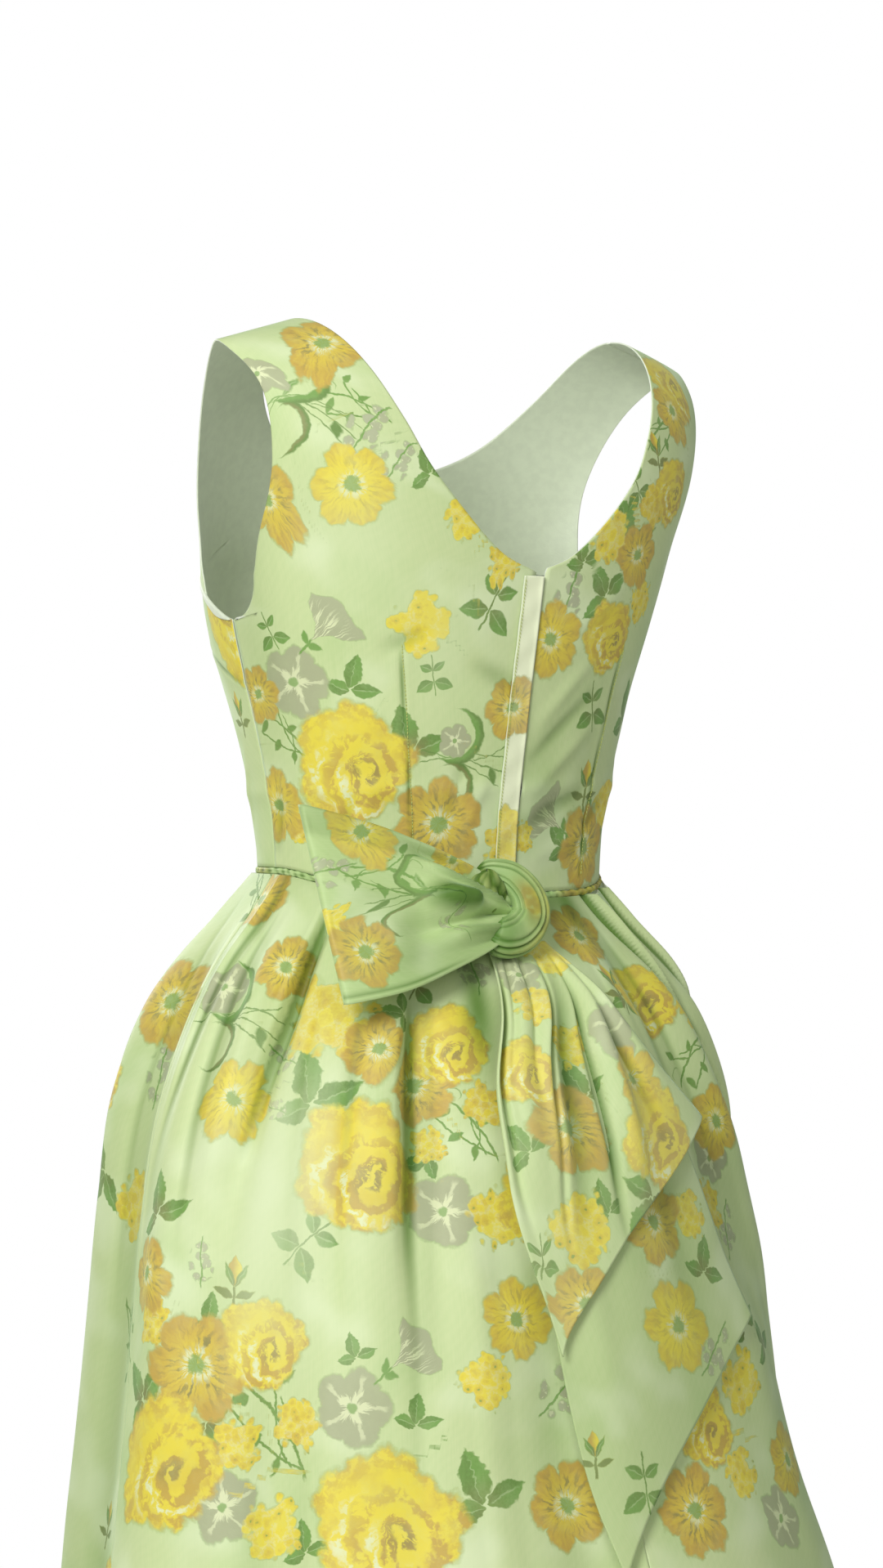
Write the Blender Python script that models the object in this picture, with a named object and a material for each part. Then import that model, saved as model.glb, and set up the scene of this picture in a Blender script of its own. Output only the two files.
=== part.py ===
"""Sleeveless party dress with a V back, a flared skirt and a sash bow, as worn with no wearer.

Metres, +Z up. The front faces -Y, the wearer's left is +X, and the origin lies midway between
the two shoulder seams, where the wearer carries the dress.
"""
import math
from collections import namedtuple

import bmesh
import bpy
import numpy as np

# Driving dimensions
CLOTH_WALL = 0.0016
SASH_WALL = 0.0012
SEAM_GAP = 0.0003
SHOULDER_ROUND = 0.13
SHOULDER_TOP_BAND = -0.05
SHOULDER_DROP = 0.017
STRAP_INNER = 0.1286
STRAP_OUTER = 0.187
WAIST_HEIGHT = -0.359
WAIST_DIP_BACK = 0.016
UNDERARM_HEIGHT = -0.195
BACK_NECK_HEIGHT = -0.165
FRONT_NECK_HEIGHT = -0.098
SKIRT_LENGTH = 0.66
PIPING_RADIUS = 0.0022
SKIRT_TOP_DROP = 0.0019

# Horizontal sections of the body, from the shoulder line down to the waist
BodySection = namedtuple("BodySection", "height half_width back_depth front_depth centre squareness")
BODICE_SECTIONS = (
    BodySection(0.000, 0.1900, 0.118, 0.088, 0.000, 2.4),
    BodySection(-0.040, 0.1910, 0.119, 0.090, -0.006, 2.4),
    BodySection(-0.090, 0.1830, 0.119, 0.094, -0.014, 2.4),
    BodySection(-0.138, 0.1690, 0.119, 0.104, -0.021, 2.35),
    BodySection(-0.168, 0.1625, 0.118, 0.110, -0.025, 2.3),
    BodySection(-0.199, 0.1550, 0.115, 0.109, -0.028, 2.25),
    BodySection(-0.238, 0.1440, 0.109, 0.102, -0.030, 2.2),
    BodySection(-0.266, 0.1370, 0.104, 0.095, -0.030, 2.2),
    BodySection(-0.292, 0.1310, 0.099, 0.090, -0.030, 2.2),
    BodySection(-0.323, 0.1250, 0.094, 0.085, -0.030, 2.2),
    BodySection(-0.359, 0.1225, 0.091, 0.083, -0.030, 2.2),
    BodySection(-0.380, 0.1225, 0.091, 0.083, -0.030, 2.2),
)

# Cut edges of the bodice: height before the shoulder drop, and distance from the centre line
EdgePoint = namedtuple("EdgePoint", "height reach")
BACK_NECKLINE = (
    EdgePoint(BACK_NECK_HEIGHT, 0.000),
    EdgePoint(-0.150, 0.033),
    EdgePoint(-0.108, 0.077),
    EdgePoint(-0.073, 0.098),
    EdgePoint(-0.040, 0.113),
    EdgePoint(0.000, STRAP_INNER),
)
FRONT_NECKLINE = (
    EdgePoint(FRONT_NECK_HEIGHT, 0.000),
    EdgePoint(-0.093, 0.042),
    EdgePoint(-0.074, 0.083),
    EdgePoint(-0.040, 0.112),
    EdgePoint(0.000, STRAP_INNER),
)
BACK_ARMHOLE = (
    EdgePoint(-0.168, 0.1600),
    EdgePoint(-0.138, 0.1640),
    EdgePoint(-0.090, 0.1695),
    EdgePoint(-0.038, 0.1761),
    EdgePoint(0.000, STRAP_OUTER),
)
FRONT_ARMHOLE = (
    EdgePoint(-0.168, 0.1560),
    EdgePoint(-0.138, 0.1560),
    EdgePoint(-0.090, 0.1600),
    EdgePoint(-0.038, 0.1720),
    EdgePoint(0.000, STRAP_OUTER),
)

# Bust shaping of the front, as given by its darts
BUST_HEIGHT = -0.196
BUST_REACH = 0.088
BUST_SPREAD = 0.050
BUST_RISE = 0.011

# Centre back opening: where the two backs, the lap and the zip end, across from the centre line
LEFT_BACK_EDGE = 0.0006
RIGHT_BACK_EDGE = 0.0066
LAP_INNER = -0.0046
LAP_OUTER = 0.0105
LAP_WALL = 0.0010
LAYER_GAP = 0.0006
ZIP_REACH_LEFT = 0.0100
ZIP_REACH_RIGHT = 0.0160
ZIP_WALL = 0.0010

# Skirt sections: drop below the waist, then the same form as the body sections
SkirtSection = namedtuple("SkirtSection", "drop half_width back_depth front_depth centre squareness")
SKIRT_SECTIONS = (
    SkirtSection(0.000, 0.1225, 0.091, 0.083, -0.030, 2.2),
    SkirtSection(0.025, 0.1380, 0.109, 0.106, -0.030, 2.15),
    SkirtSection(0.055, 0.1610, 0.133, 0.128, -0.031, 2.1),
    SkirtSection(0.086, 0.1790, 0.152, 0.147, -0.032, 2.1),
    SkirtSection(0.128, 0.1980, 0.169, 0.165, -0.033, 2.05),
    SkirtSection(0.170, 0.2120, 0.184, 0.179, -0.034, 2.0),
    SkirtSection(0.218, 0.2210, 0.192, 0.181, -0.034, 2.0),
    SkirtSection(0.300, 0.2320, 0.208, 0.187, -0.030, 2.0),
    SkirtSection(0.390, 0.2470, 0.219, 0.193, -0.022, 2.0),
    SkirtSection(0.470, 0.2630, 0.239, 0.207, -0.011, 2.0),
    SkirtSection(0.560, 0.2800, 0.256, 0.226, -0.005, 2.0),
    SkirtSection(0.660, 0.2980, 0.275, 0.245, 0.000, 2.0),
)

# Unpressed pleats and folds of the skirt. The azimuth is 0 at the front, 90 at the wearer's left
# and 180 at the back. The rise is how far a fold stands out, and a trough has a negative one.
# The spread is its half width at the hem, and top and tail say over which drops it grows and fades.
SkirtFold = namedtuple("SkirtFold", "azimuth spread rise top tail lean")
SKIRT_FOLDS = (
    SkirtFold(10, 9.0, 0.012, 0.020, 0.66, 3),
    SkirtFold(27, 7.0, -0.009, 0.030, 0.60, 2),
    SkirtFold(43, 8.0, 0.009, 0.010, 0.45, 4),
    SkirtFold(57, 6.0, -0.007, 0.020, 0.30, 0),
    SkirtFold(68, 8.0, 0.009, 0.010, 0.40, -5),
    SkirtFold(82, 7.0, -0.009, 0.020, 0.60, 0),
    SkirtFold(97, 6.0, 0.008, 0.005, 0.24, 8),
    SkirtFold(103, 9.0, 0.007, 0.180, 0.66, -2),
    SkirtFold(109, 6.0, 0.009, 0.000, 0.16, 4),
    SkirtFold(119, 5.0, -0.011, 0.005, 0.15, -20),
    SkirtFold(129, 8.0, 0.007, 0.030, 0.50, 10),
    SkirtFold(141, 6.0, 0.007, 0.030, 0.24, -2),
    SkirtFold(149, 5.0, -0.009, 0.030, 0.18, 0),
    SkirtFold(152, 8.0, 0.007, 0.160, 0.66, -2),
    SkirtFold(165, 6.0, -0.008, 0.220, 0.66, 8),
    SkirtFold(205, 5.0, -0.007, 0.000, 0.12, 25),
    SkirtFold(213, 6.0, 0.010, 0.000, 0.24, 45),
    SkirtFold(223, 5.0, -0.009, 0.005, 0.16, 50),
    SkirtFold(233, 6.0, 0.009, 0.005, 0.24, 25),
    SkirtFold(200, 8.0, 0.008, 0.240, 0.66, 34),
    SkirtFold(244, 8.0, -0.009, 0.040, 0.60, 4),
    SkirtFold(259, 9.0, 0.011, 0.020, 0.60, -2),
    SkirtFold(275, 7.0, -0.010, 0.030, 0.60, -3),
    SkirtFold(291, 8.0, 0.011, 0.010, 0.50, -4),
    SkirtFold(307, 7.0, -0.009, 0.030, 0.60, 2),
    SkirtFold(323, 9.0, 0.011, 0.020, 0.60, -2),
    SkirtFold(341, 8.0, -0.010, 0.020, 0.66, 2),
)

# Sash bow: knot, one loop to the wearer's left, and two slant cut ends
KNOT_CENTRE = (0.019, 0.0878, -0.386)
KNOT_RISE = 0.0205
KNOT_REACH = 0.0180
KNOT_TUBE = 0.0125
KNOT_DEPTH = 0.0115
KNOT_LEAN = 0.72
KNOT_SWEEP = 82
KNOT_END_SHARE = 0.55

LoopSection = namedtuple("LoopSection", "reach top bottom fullness")
LOOP_SECTIONS = (
    LoopSection(0.000, -0.3800, -0.3920, 0.0035),
    LoopSection(0.012, -0.3680, -0.3990, 0.0060),
    LoopSection(0.030, -0.3550, -0.4080, 0.0095),
    LoopSection(0.060, -0.3410, -0.4190, 0.0120),
    LoopSection(0.098, -0.3270, -0.4320, 0.0110),
    LoopSection(0.141, -0.3150, -0.4400, 0.0085),
)
LOOP_START = (0.0140, 0.0880)
LOOP_YAW = 5
LOOP_SWEEP = 89.97
LOOP_TILT = 0.42

# Sash ends: azimuth and drop of the two edges at each section, and how far it stands off the skirt
TailSection = namedtuple("TailSection", "left_azimuth left_drop right_azimuth right_drop lift")
SHORT_TAIL = (
    TailSection(168.0, 0.034, 184.0, 0.031, 0.0012),
    TailSection(165.0, 0.080, 188.0, 0.062, 0.0085),
    TailSection(161.5, 0.130, 191.0, 0.088, 0.0125),
    TailSection(162.0, 0.190, 196.0, 0.114, 0.014),
    TailSection(165.0, 0.248, 201.5, 0.138, 0.014),
    TailSection(169.5, 0.304, 206.5, 0.158, 0.014),
)
LONG_TAIL = (
    TailSection(171.0, 0.042, 184.0, 0.040, 0.0006),
    TailSection(169.0, 0.110, 192.0, 0.090, 0.006),
    TailSection(168.5, 0.200, 199.0, 0.145, 0.006),
    TailSection(169.5, 0.290, 205.0, 0.200, 0.006),
    TailSection(172.0, 0.365, 209.0, 0.248, 0.006),
    TailSection(175.5, 0.440, 212.5, 0.292, 0.006),
)
TAIL_BEND = 5.0
TailFold = namedtuple("TailFold", "across spread rise")
SHORT_TAIL_FOLDS = (
    TailFold(0.18, 0.10, 0.006),
    TailFold(0.42, 0.10, 0.008),
    TailFold(0.72, 0.12, 0.007),
)
LONG_TAIL_FOLDS = (
    TailFold(0.50, 0.20, 0.002),
)

# Mesh fineness
LOWER_ROWS = 7
UPPER_ROWS = 12
BACK_COLUMNS = 10
FRONT_COLUMNS = 12
SKIRT_ROWS = 15
SKIRT_COLUMNS_FRONT = 48
SKIRT_COLUMNS_BACK = 32
PIPING_SEGMENTS = 56
PIPING_SIDES = 6
LOOP_ROWS = 25
LOOP_COLUMNS = 9
KNOT_STEPS = 14
KNOT_SIDES = 10
TAIL_ROWS = 15
STRIP_ROWS = 15
STRIP_COLUMNS = 4
DENSE = 400

# Finishes: base colour, roughness and metallic
FINISHES = {
    "printed_organza": ((0.60, 0.76, 0.36, 1.0), 0.55, 0.0),
    "sash_organza": ((0.42, 0.66, 0.26, 1.0), 0.50, 0.0),
    "corded_piping": ((0.52, 0.60, 0.20, 1.0), 0.60, 0.0),
    "zip_tape": ((0.10, 0.13, 0.07, 1.0), 0.45, 0.0),
}


def finish(name):
    """The named Principled material, made once and shared."""
    found = bpy.data.materials.get(name)
    if found:
        return found
    colour, roughness, metallic = FINISHES[name]
    material = bpy.data.materials.new(name)
    material.use_nodes = True
    shader = material.node_tree.nodes["Principled BSDF"]
    shader.inputs["Base Color"].default_value = colour
    shader.inputs["Roughness"].default_value = roughness
    shader.inputs["Metallic"].default_value = metallic
    return material


def smooth_rows(table, fraction):
    """Catmull-Rom curve through a table's rows, read at fractions 0 to 1 of its length in rows."""
    rows = np.array([tuple(row) for row in table], dtype=float)
    padded = np.vstack([2 * rows[0] - rows[1], rows, 2 * rows[-1] - rows[-2]])
    place = np.clip(np.asarray(fraction, dtype=float), 0, 1) * (len(rows) - 1)
    index = np.minimum(place.astype(int), len(rows) - 2)
    t = (place - index)[..., None]
    before, start, end, after = (padded[index + k] for k in range(4))
    bend = (2 * start + (end - before) * t
            + (2 * before - 5 * start + 4 * end - after) * t ** 2
            + (3 * start - before - 3 * end + after) * t ** 3)
    return bend / 2


def read_table(table, key, value):
    """The table's columns at the given values of its first column, which falls or rises steadily."""
    dense = smooth_rows(table, np.linspace(0, 1, DENSE))
    keys = dense[:, key]
    order = np.argsort(keys)
    return [np.interp(value, keys[order], dense[order, column]) for column in range(dense.shape[1])]


def signed_power(value, exponent):
    """The power of a value's size, with its sign kept."""
    return np.sign(value) * np.abs(value) ** exponent


def smooth_step(value):
    """An S-shaped rise from 0 to 1 as the value goes from 0 to 1."""
    t = np.clip(value, 0, 1)
    return t * t * (3 - 2 * t)


def level_of(height):
    """The bodice's level: 0 at the shoulder line, 1 where the shoulders end, and more below."""
    height = np.asarray(height, dtype=float)
    round_part = np.arccos(np.clip(1 + height / SHOULDER_ROUND, -1, 1)) * 2 / math.pi
    straight_part = 1 + (-SHOULDER_ROUND - height) / (SHOULDER_ROUND * math.pi / 2)
    return np.where(height > -SHOULDER_ROUND, round_part, straight_part)


def height_of(level):
    """The height at a level: a quarter ellipse over the shoulder, then straight down."""
    round_part = -SHOULDER_ROUND * (1 - np.cos(level * math.pi / 2))
    straight_part = -SHOULDER_ROUND - (level - 1) * SHOULDER_ROUND * math.pi / 2
    return np.where(level < 1, round_part, straight_part)


def bodice_surface(angle, level, back):
    """A point of the bodice's outer face, on the wearer's left.

    At each level the section is a superellipse, and the angle runs from 0 at the centre line to
    90 degrees at the side. Above level 1 the depth shrinks with a sine to nothing at the
    shoulder line, and the height falls towards the arm by the shoulder's slope.
    """
    height = height_of(level)
    _, half_width, back_depth, front_depth, centre, squareness = read_table(BODICE_SECTIONS, 0, height)
    power = 2 / squareness
    x = half_width * signed_power(np.sin(angle), power)
    depth = np.where(back, back_depth, -front_depth) * np.sin(np.minimum(level, 1) * math.pi / 2)
    y = centre + depth * signed_power(np.cos(angle), power)
    slope = np.clip((np.abs(x) - STRAP_INNER) / (STRAP_OUTER - STRAP_INNER), -2.2, 1.3)
    z = height - SHOULDER_DROP * slope * smooth_step(1.1 - level)
    if not back:
        across = (np.abs(x) - BUST_REACH) / BUST_SPREAD
        along = (height - BUST_HEIGHT) / BUST_SPREAD
        y = y - BUST_RISE * np.exp(-across ** 2 - along ** 2)
    return np.stack([x, y, z], axis=-1)


def surface_normals(surface, first, second, step=1e-4):
    """Unit normals of a surface of two parameters, by central differences, turned outwards."""
    along = surface(first + step, second) - surface(first - step, second)
    across = surface(first, second + step) - surface(first, second - step)
    normal = np.cross(along, across)
    return normal / np.linalg.norm(normal, axis=-1, keepdims=True)


def angle_at(reach, level):
    """The section angle at which the bodice is the given distance from the centre line."""
    height = height_of(level)
    _, half_width, _, _, _, squareness = read_table(BODICE_SECTIONS, 0, height)
    ratio = np.clip(np.abs(reach) / half_width, 0, 1)
    return np.sign(reach) * np.arcsin(ratio ** (squareness / 2))


def waist_height(azimuth):
    """The waist seam's height, level at the front and sides and dipping at the centre back."""
    backness = np.clip(-np.cos(np.radians(azimuth)), 0, 1)
    return WAIST_HEIGHT - WAIST_DIP_BACK * smooth_step(backness)


def even_edge(angles, levels, back, count):
    """An edge given by dense angles and levels, read again at points evenly spaced along it."""
    points = bodice_surface(angles, levels, back)
    lengths = np.linalg.norm(np.diff(points, axis=0), axis=1)
    travelled = np.concatenate([[0], np.cumsum(lengths)])
    wanted = np.linspace(0, travelled[-1], count + 1)
    return np.interp(wanted, travelled, angles), np.interp(wanted, travelled, levels)


def bodice_grid(neckline, armhole, neck_height, centre_edge, columns, back):
    """Angles and levels of half a bodice, from its centre edge and neckline to its side and armhole.

    Each row joins a point of the inner edge to one of the outer edge. The lowest rows run from
    the waist to the neck point and the underarm, and the others on up to the shoulder seam.
    """
    fractions = np.linspace(0, 1, DENSE)
    waist = waist_height(180 if back else 0) + PIPING_RADIUS + SEAM_GAP
    lower_level = level_of(waist + (neck_height - waist) * fractions)
    lower_inner = angle_at(np.full(DENSE, centre_edge), lower_level), lower_level
    neck = smooth_rows(neckline, fractions)
    neck_level = level_of(np.minimum(neck[:, 0], 0))
    neck_angle = angle_at(np.maximum(neck[:, 1], centre_edge), neck_level)

    side_waist = WAIST_HEIGHT + PIPING_RADIUS + SEAM_GAP
    side_level = level_of(side_waist + (UNDERARM_HEIGHT - side_waist) * fractions)
    side_angle = np.full(DENSE, math.pi / 2)
    arm = smooth_rows(armhole, fractions)
    arm_level = level_of(np.minimum(arm[:, 0], 0))
    arm_angle = angle_at(arm[:, 1], arm_level)
    corner = np.linspace(0, 1, DENSE // 4)
    corner_angle = math.pi / 2 + (arm_angle[0] - math.pi / 2) * np.sin(corner * math.pi / 2)
    corner_start = side_level[-1]
    corner_level = corner_start + (arm_level[0] - corner_start) * (1 - np.cos(corner * math.pi / 2))
    arm_angle = np.concatenate([corner_angle, arm_angle[1:]])
    arm_level = np.concatenate([corner_level, arm_level[1:]])

    parts = []
    for inner, outer, count in (
        (lower_inner, (side_angle, side_level), LOWER_ROWS),
        ((neck_angle, neck_level), (arm_angle, arm_level), UPPER_ROWS),
    ):
        inner_angle, inner_level = even_edge(*inner, back, count)
        outer_angle, outer_level = even_edge(*outer, back, count)
        share = np.linspace(0, 1, columns + 1)[None, :]
        angle = inner_angle[:, None] * (1 - share) + outer_angle[:, None] * share
        level = inner_level[:, None] * (1 - share) + outer_level[:, None] * share
        parts.append((angle, level))
    angle = np.vstack([parts[0][0], parts[1][0][1:]])
    level = np.vstack([parts[0][1], parts[1][1][1:]])
    return angle, follow_waist(angle, level, back)


def follow_waist(angle, level, back):
    """Levels whose lowest row follows the waist seam, with the change fading out above it."""
    azimuth = 180 - np.degrees(angle[0]) if back else np.degrees(angle[0])
    wanted = level_of(waist_height(azimuth) + PIPING_RADIUS + SEAM_GAP)
    fade = np.clip(1 - np.arange(len(level)) / LOWER_ROWS, 0, 1)[:, None]
    return level + (wanted - level[0])[None, :] * fade


def grid_faces(rows, columns, start=0):
    """Quads of a grid of points, row after row, as corner numbers."""
    numbers = start + np.arange(rows * columns).reshape(rows, columns)
    corners = (numbers[:-1, :-1], numbers[:-1, 1:], numbers[1:, 1:], numbers[1:, :-1])
    return np.stack([c.ravel() for c in corners], axis=1).tolist()


def trimmed(points, edges):
    """A grid whose named edges are drawn in by half a seam gap, towards their neighbours."""
    points = points.copy()
    moves = {"top": (-1, -2, 0), "bottom": (0, 1, 0), "first": (0, 1, 1), "last": (-1, -2, 1)}
    for edge in edges:
        at, beside, axis = moves[edge]
        here = points[at] if axis == 0 else points[:, at]
        towards = (points[beside] if axis == 0 else points[:, beside]) - here
        length = np.linalg.norm(towards, axis=-1, keepdims=True)
        here += towards / length * (SEAM_GAP / 2)
    return points


def new_object(name, mesh_builder, material):
    """An object of a finished bmesh, with outward faces, smooth shading and its own material."""
    bmesh.ops.recalc_face_normals(mesh_builder, faces=mesh_builder.faces)
    mesh = bpy.data.meshes.new(name)
    mesh_builder.to_mesh(mesh)
    mesh_builder.free()
    mesh.shade_smooth()
    mesh.set_sharp_from_angle(angle=math.radians(50))
    mesh.materials.append(finish(material))
    placed = bpy.data.objects.new(name, mesh)
    bpy.context.scene.collection.objects.link(placed)
    return placed


def cloth_wall(name, outer, inner, faces, material):
    """A closed wall: an outer sheet, an inner sheet of the same faces, and a rim round the edges."""
    builder = bmesh.new()
    outside = [builder.verts.new(point) for point in outer]
    inside = [builder.verts.new(point) for point in inner]
    uses = {}
    for face in faces:
        builder.faces.new([outside[k] for k in face])
        builder.faces.new([inside[k] for k in reversed(face)])
        for start, end in zip(face, face[1:] + face[:1]):
            uses.setdefault(frozenset((start, end)), []).append((start, end))
    for sides in uses.values():
        if len(sides) == 1:
            start, end = sides[0]
            builder.faces.new([outside[end], outside[start], inside[start], inside[end]])
    return new_object(name, builder, material)


def sheet_wall(name, points, normals, thickness, material):
    """A closed wall from one grid of outer points and their normals."""
    rows, columns = points.shape[:2]
    inner = points - normals * thickness
    faces = grid_faces(rows, columns)
    return cloth_wall(name, points.reshape(-1, 3), inner.reshape(-1, 3), faces, material)


def mirrored(points):
    """The same points on the wearer's right."""
    return points * np.array([-1, 1, 1])


def back_shape(angle, level):
    """The bodice's back, as a function of angle and level."""
    return bodice_surface(angle, level, True)


def front_shape(angle, level):
    """The bodice's front, as a function of angle and level."""
    return bodice_surface(angle, level, False)


def outward(points, normals):
    """Normals turned so that they point away from the body's middle, and up over the shoulders."""
    aim = points - np.array([0.0, BODICE_SECTIONS[-1].centre, 0.0])
    aim[..., 2] = np.where(points[..., 2] > SHOULDER_TOP_BAND, SHOULDER_ROUND, 0)
    facing = np.sum(aim * normals, axis=-1, keepdims=True)
    return np.where(facing < 0, -normals, normals)


def bodice_half(neckline, armhole, neck_height, centre_edge, columns, back):
    """Outer points and outward normals of half a bodice, on the wearer's left."""
    angle, level = bodice_grid(neckline, armhole, neck_height, centre_edge, columns, back)
    shape = back_shape if back else front_shape
    points = shape(angle, level)
    normals = outward(points, surface_normals(shape, angle, level))
    return points, normals


def build_bodice_backs():
    """Two back halves, each from the centre opening to the side seam and the shoulder seam."""
    for name, edge, turn in (
        ("bodice_back_left", LEFT_BACK_EDGE, lambda grid: grid),
        ("bodice_back_right", RIGHT_BACK_EDGE, mirrored),
    ):
        points, normals = bodice_half(BACK_NECKLINE, BACK_ARMHOLE, BACK_NECK_HEIGHT, edge,
                                      BACK_COLUMNS, True)
        points = trimmed(points, ("top", "last"))
        sheet_wall(name, turn(points), turn(normals), CLOTH_WALL, "printed_organza")


def build_bodice_front():
    """The front in one piece: two mirrored halves that share the column down the centre."""
    points, normals = bodice_half(FRONT_NECKLINE, FRONT_ARMHOLE, FRONT_NECK_HEIGHT, 0.0,
                                  FRONT_COLUMNS, False)
    points = trimmed(points, ("top", "last"))
    rows, columns = points.shape[:2]
    left = points.reshape(-1, 3)
    left_normals = normals.reshape(-1, 3)
    right = mirrored(left)
    right_normals = mirrored(left_normals)
    count = rows * columns
    shared = {count + row * columns: row * columns for row in range(LOWER_ROWS + 1)}
    faces = grid_faces(rows, columns)
    for face in grid_faces(rows, columns, count):
        faces.append([shared.get(corner, corner) for corner in reversed(face)])
    outer = np.vstack([left, right])
    inner = outer - np.vstack([left_normals, right_normals]) * CLOTH_WALL
    used = sorted({corner for face in faces for corner in face})
    renumber = {old: new for new, old in enumerate(used)}
    faces = [[renumber[corner] for corner in face] for face in faces]
    cloth_wall("bodice_front", outer[used], inner[used], faces, "printed_organza")


def build_centre_back_closure():
    """The lap, moved out from the backs' own surface, and the zip tape, moved in from it."""
    waist = waist_height(180) + PIPING_RADIUS + SEAM_GAP
    top = BACK_NECK_HEIGHT - 0.002
    strips = (
        ("zip_lap", LAP_INNER, LAP_OUTER, LAYER_GAP + LAP_WALL, LAP_WALL, "printed_organza"),
        ("zip_tape", -ZIP_REACH_RIGHT, ZIP_REACH_LEFT, -CLOTH_WALL - LAYER_GAP, ZIP_WALL, "zip_tape"),
    )
    for name, start, end, lift, wall, material in strips:
        height = np.linspace(waist, top, STRIP_ROWS)[:, None] * np.ones((1, STRIP_COLUMNS))
        reach = np.linspace(start, end, STRIP_COLUMNS)[None, :] * np.ones((STRIP_ROWS, 1))
        level = level_of(height)
        angle = angle_at(reach, level)
        points = back_shape(angle, level)
        normals = outward(points, surface_normals(back_shape, angle, level))
        sheet_wall(name, points + normals * lift, normals, wall, material)


def skirt_fold_rise(azimuth, drop):
    """How far the skirt's folds stand out: smooth ridges that widen down from the waist."""
    rise = np.zeros(np.broadcast(azimuth, drop).shape)
    for fold in SKIRT_FOLDS:
        centre = fold.azimuth + fold.lean * drop / SKIRT_LENGTH
        away = (azimuth - centre + 180) % 360 - 180
        spread = fold.spread * (0.7 + 0.3 * smooth_step(drop / 0.35))
        grows = smooth_step((drop - fold.top) / 0.08)
        fades = 1 - smooth_step((drop - fold.tail) / 0.20)
        rise = rise + fold.rise * np.exp(-(away / spread) ** 2) * grows * fades
    return rise


def skirt_surface(azimuth, drop):
    """A point of the skirt's outer face: superellipse sections that flare from the waist, with folds.

    The drop is measured from the waist seam, so the hem is level though the waist dips.
    """
    _, half_width, back_depth, front_depth, centre, squareness = read_table(SKIRT_SECTIONS, 0, drop)
    turn = np.radians(azimuth)
    power = 2 / squareness
    sine = signed_power(np.sin(turn), power)
    cosine = signed_power(np.cos(turn), power)
    rise = skirt_fold_rise(azimuth, drop)
    x = (half_width + rise) * sine
    depth = np.where(cosine > 0, front_depth, back_depth)
    y = centre - (depth + rise) * cosine
    dip = (waist_height(azimuth) - WAIST_HEIGHT) * (1 - smooth_step(drop / 0.30))
    z = WAIST_HEIGHT - drop + dip
    return np.stack([x, y, z * np.ones_like(x)], axis=-1)


def skirt_normals(azimuth, drop):
    """Outward unit normals of the skirt, by central differences."""
    along = skirt_surface(azimuth + 0.05, drop) - skirt_surface(azimuth - 0.05, drop)
    down = skirt_surface(azimuth, drop + 5e-4) - skirt_surface(azimuth, drop - 5e-4)
    normal = np.cross(down, along)
    return normal / np.linalg.norm(normal, axis=-1, keepdims=True)


def build_skirt():
    """Three flared gores, with seams at the two sides and the centre back."""
    first_drop = SKIRT_TOP_DROP
    share = np.linspace(0, 1, SKIRT_ROWS + 1)
    drops = first_drop + (SKIRT_LENGTH - first_drop) * share ** 1.35
    for name, start, end, columns in (
        ("skirt_front", -90, 90, SKIRT_COLUMNS_FRONT),
        ("skirt_back_left", 90, 180, SKIRT_COLUMNS_BACK),
        ("skirt_back_right", 180, 270, SKIRT_COLUMNS_BACK),
    ):
        azimuth = np.linspace(start, end, columns + 1)[None, :] * np.ones((len(drops), 1))
        drop = drops[:, None] * np.ones((1, columns + 1))
        points = trimmed(skirt_surface(azimuth, drop), ("first", "last"))
        sheet_wall(name, points, skirt_normals(azimuth, drop), CLOTH_WALL, "printed_organza")


def build_waist_piping():
    """A corded ring round the waist, between the bodice's lower edge and the skirt's upper edge."""
    azimuth = np.linspace(0, 360, PIPING_SEGMENTS, endpoint=False)
    middle = skirt_surface(azimuth, np.zeros_like(azimuth))
    normals = skirt_normals(azimuth, np.zeros_like(azimuth))
    normals[:, 2] = 0
    normals /= np.linalg.norm(normals, axis=1, keepdims=True)
    middle = middle - normals * CLOTH_WALL / 2
    builder = bmesh.new()
    rings = []
    for centre, normal in zip(middle, normals):
        ring = []
        for side in range(PIPING_SIDES):
            turn = 2 * math.pi * (side + 0.5) / PIPING_SIDES
            offset = normal * math.cos(turn) + np.array([0, 0, math.sin(turn)])
            ring.append(builder.verts.new(centre + offset * PIPING_RADIUS))
        rings.append(ring)
    for ring, following in zip(rings, rings[1:] + rings[:1]):
        for side in range(PIPING_SIDES):
            beside = (side + 1) % PIPING_SIDES
            builder.faces.new([ring[side], ring[beside], following[beside], following[side]])
    new_object("waist_piping", builder, "corded_piping")


def loop_surface(turn, across):
    """A point of the bow's loop: the sash goes out from the knot, folds and comes back.

    The turn runs from -90 to 90 degrees: the outer layer, the fold at 0, and the inner layer.
    Across runs from the sash's upper edge at 0 to its lower edge at 1.
    """
    longest = LOOP_SECTIONS[-1].reach
    reach = longest * np.abs(np.cos(turn)) ** 0.8
    _, top, bottom, fullness = read_table(LOOP_SECTIONS, 0, reach)
    height = top + (bottom - top) * across
    aside = -fullness * signed_power(np.sin(turn), 0.6)
    yaw = math.radians(LOOP_YAW)
    middle = (top + bottom) / 2
    lean = (middle - height) * LOOP_TILT
    x = LOOP_START[0] + reach * math.cos(yaw) + aside * math.sin(yaw)
    y = LOOP_START[1] - reach * math.sin(yaw) + aside * math.cos(yaw) + lean
    return np.stack([x, y, height], axis=-1)


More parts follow.
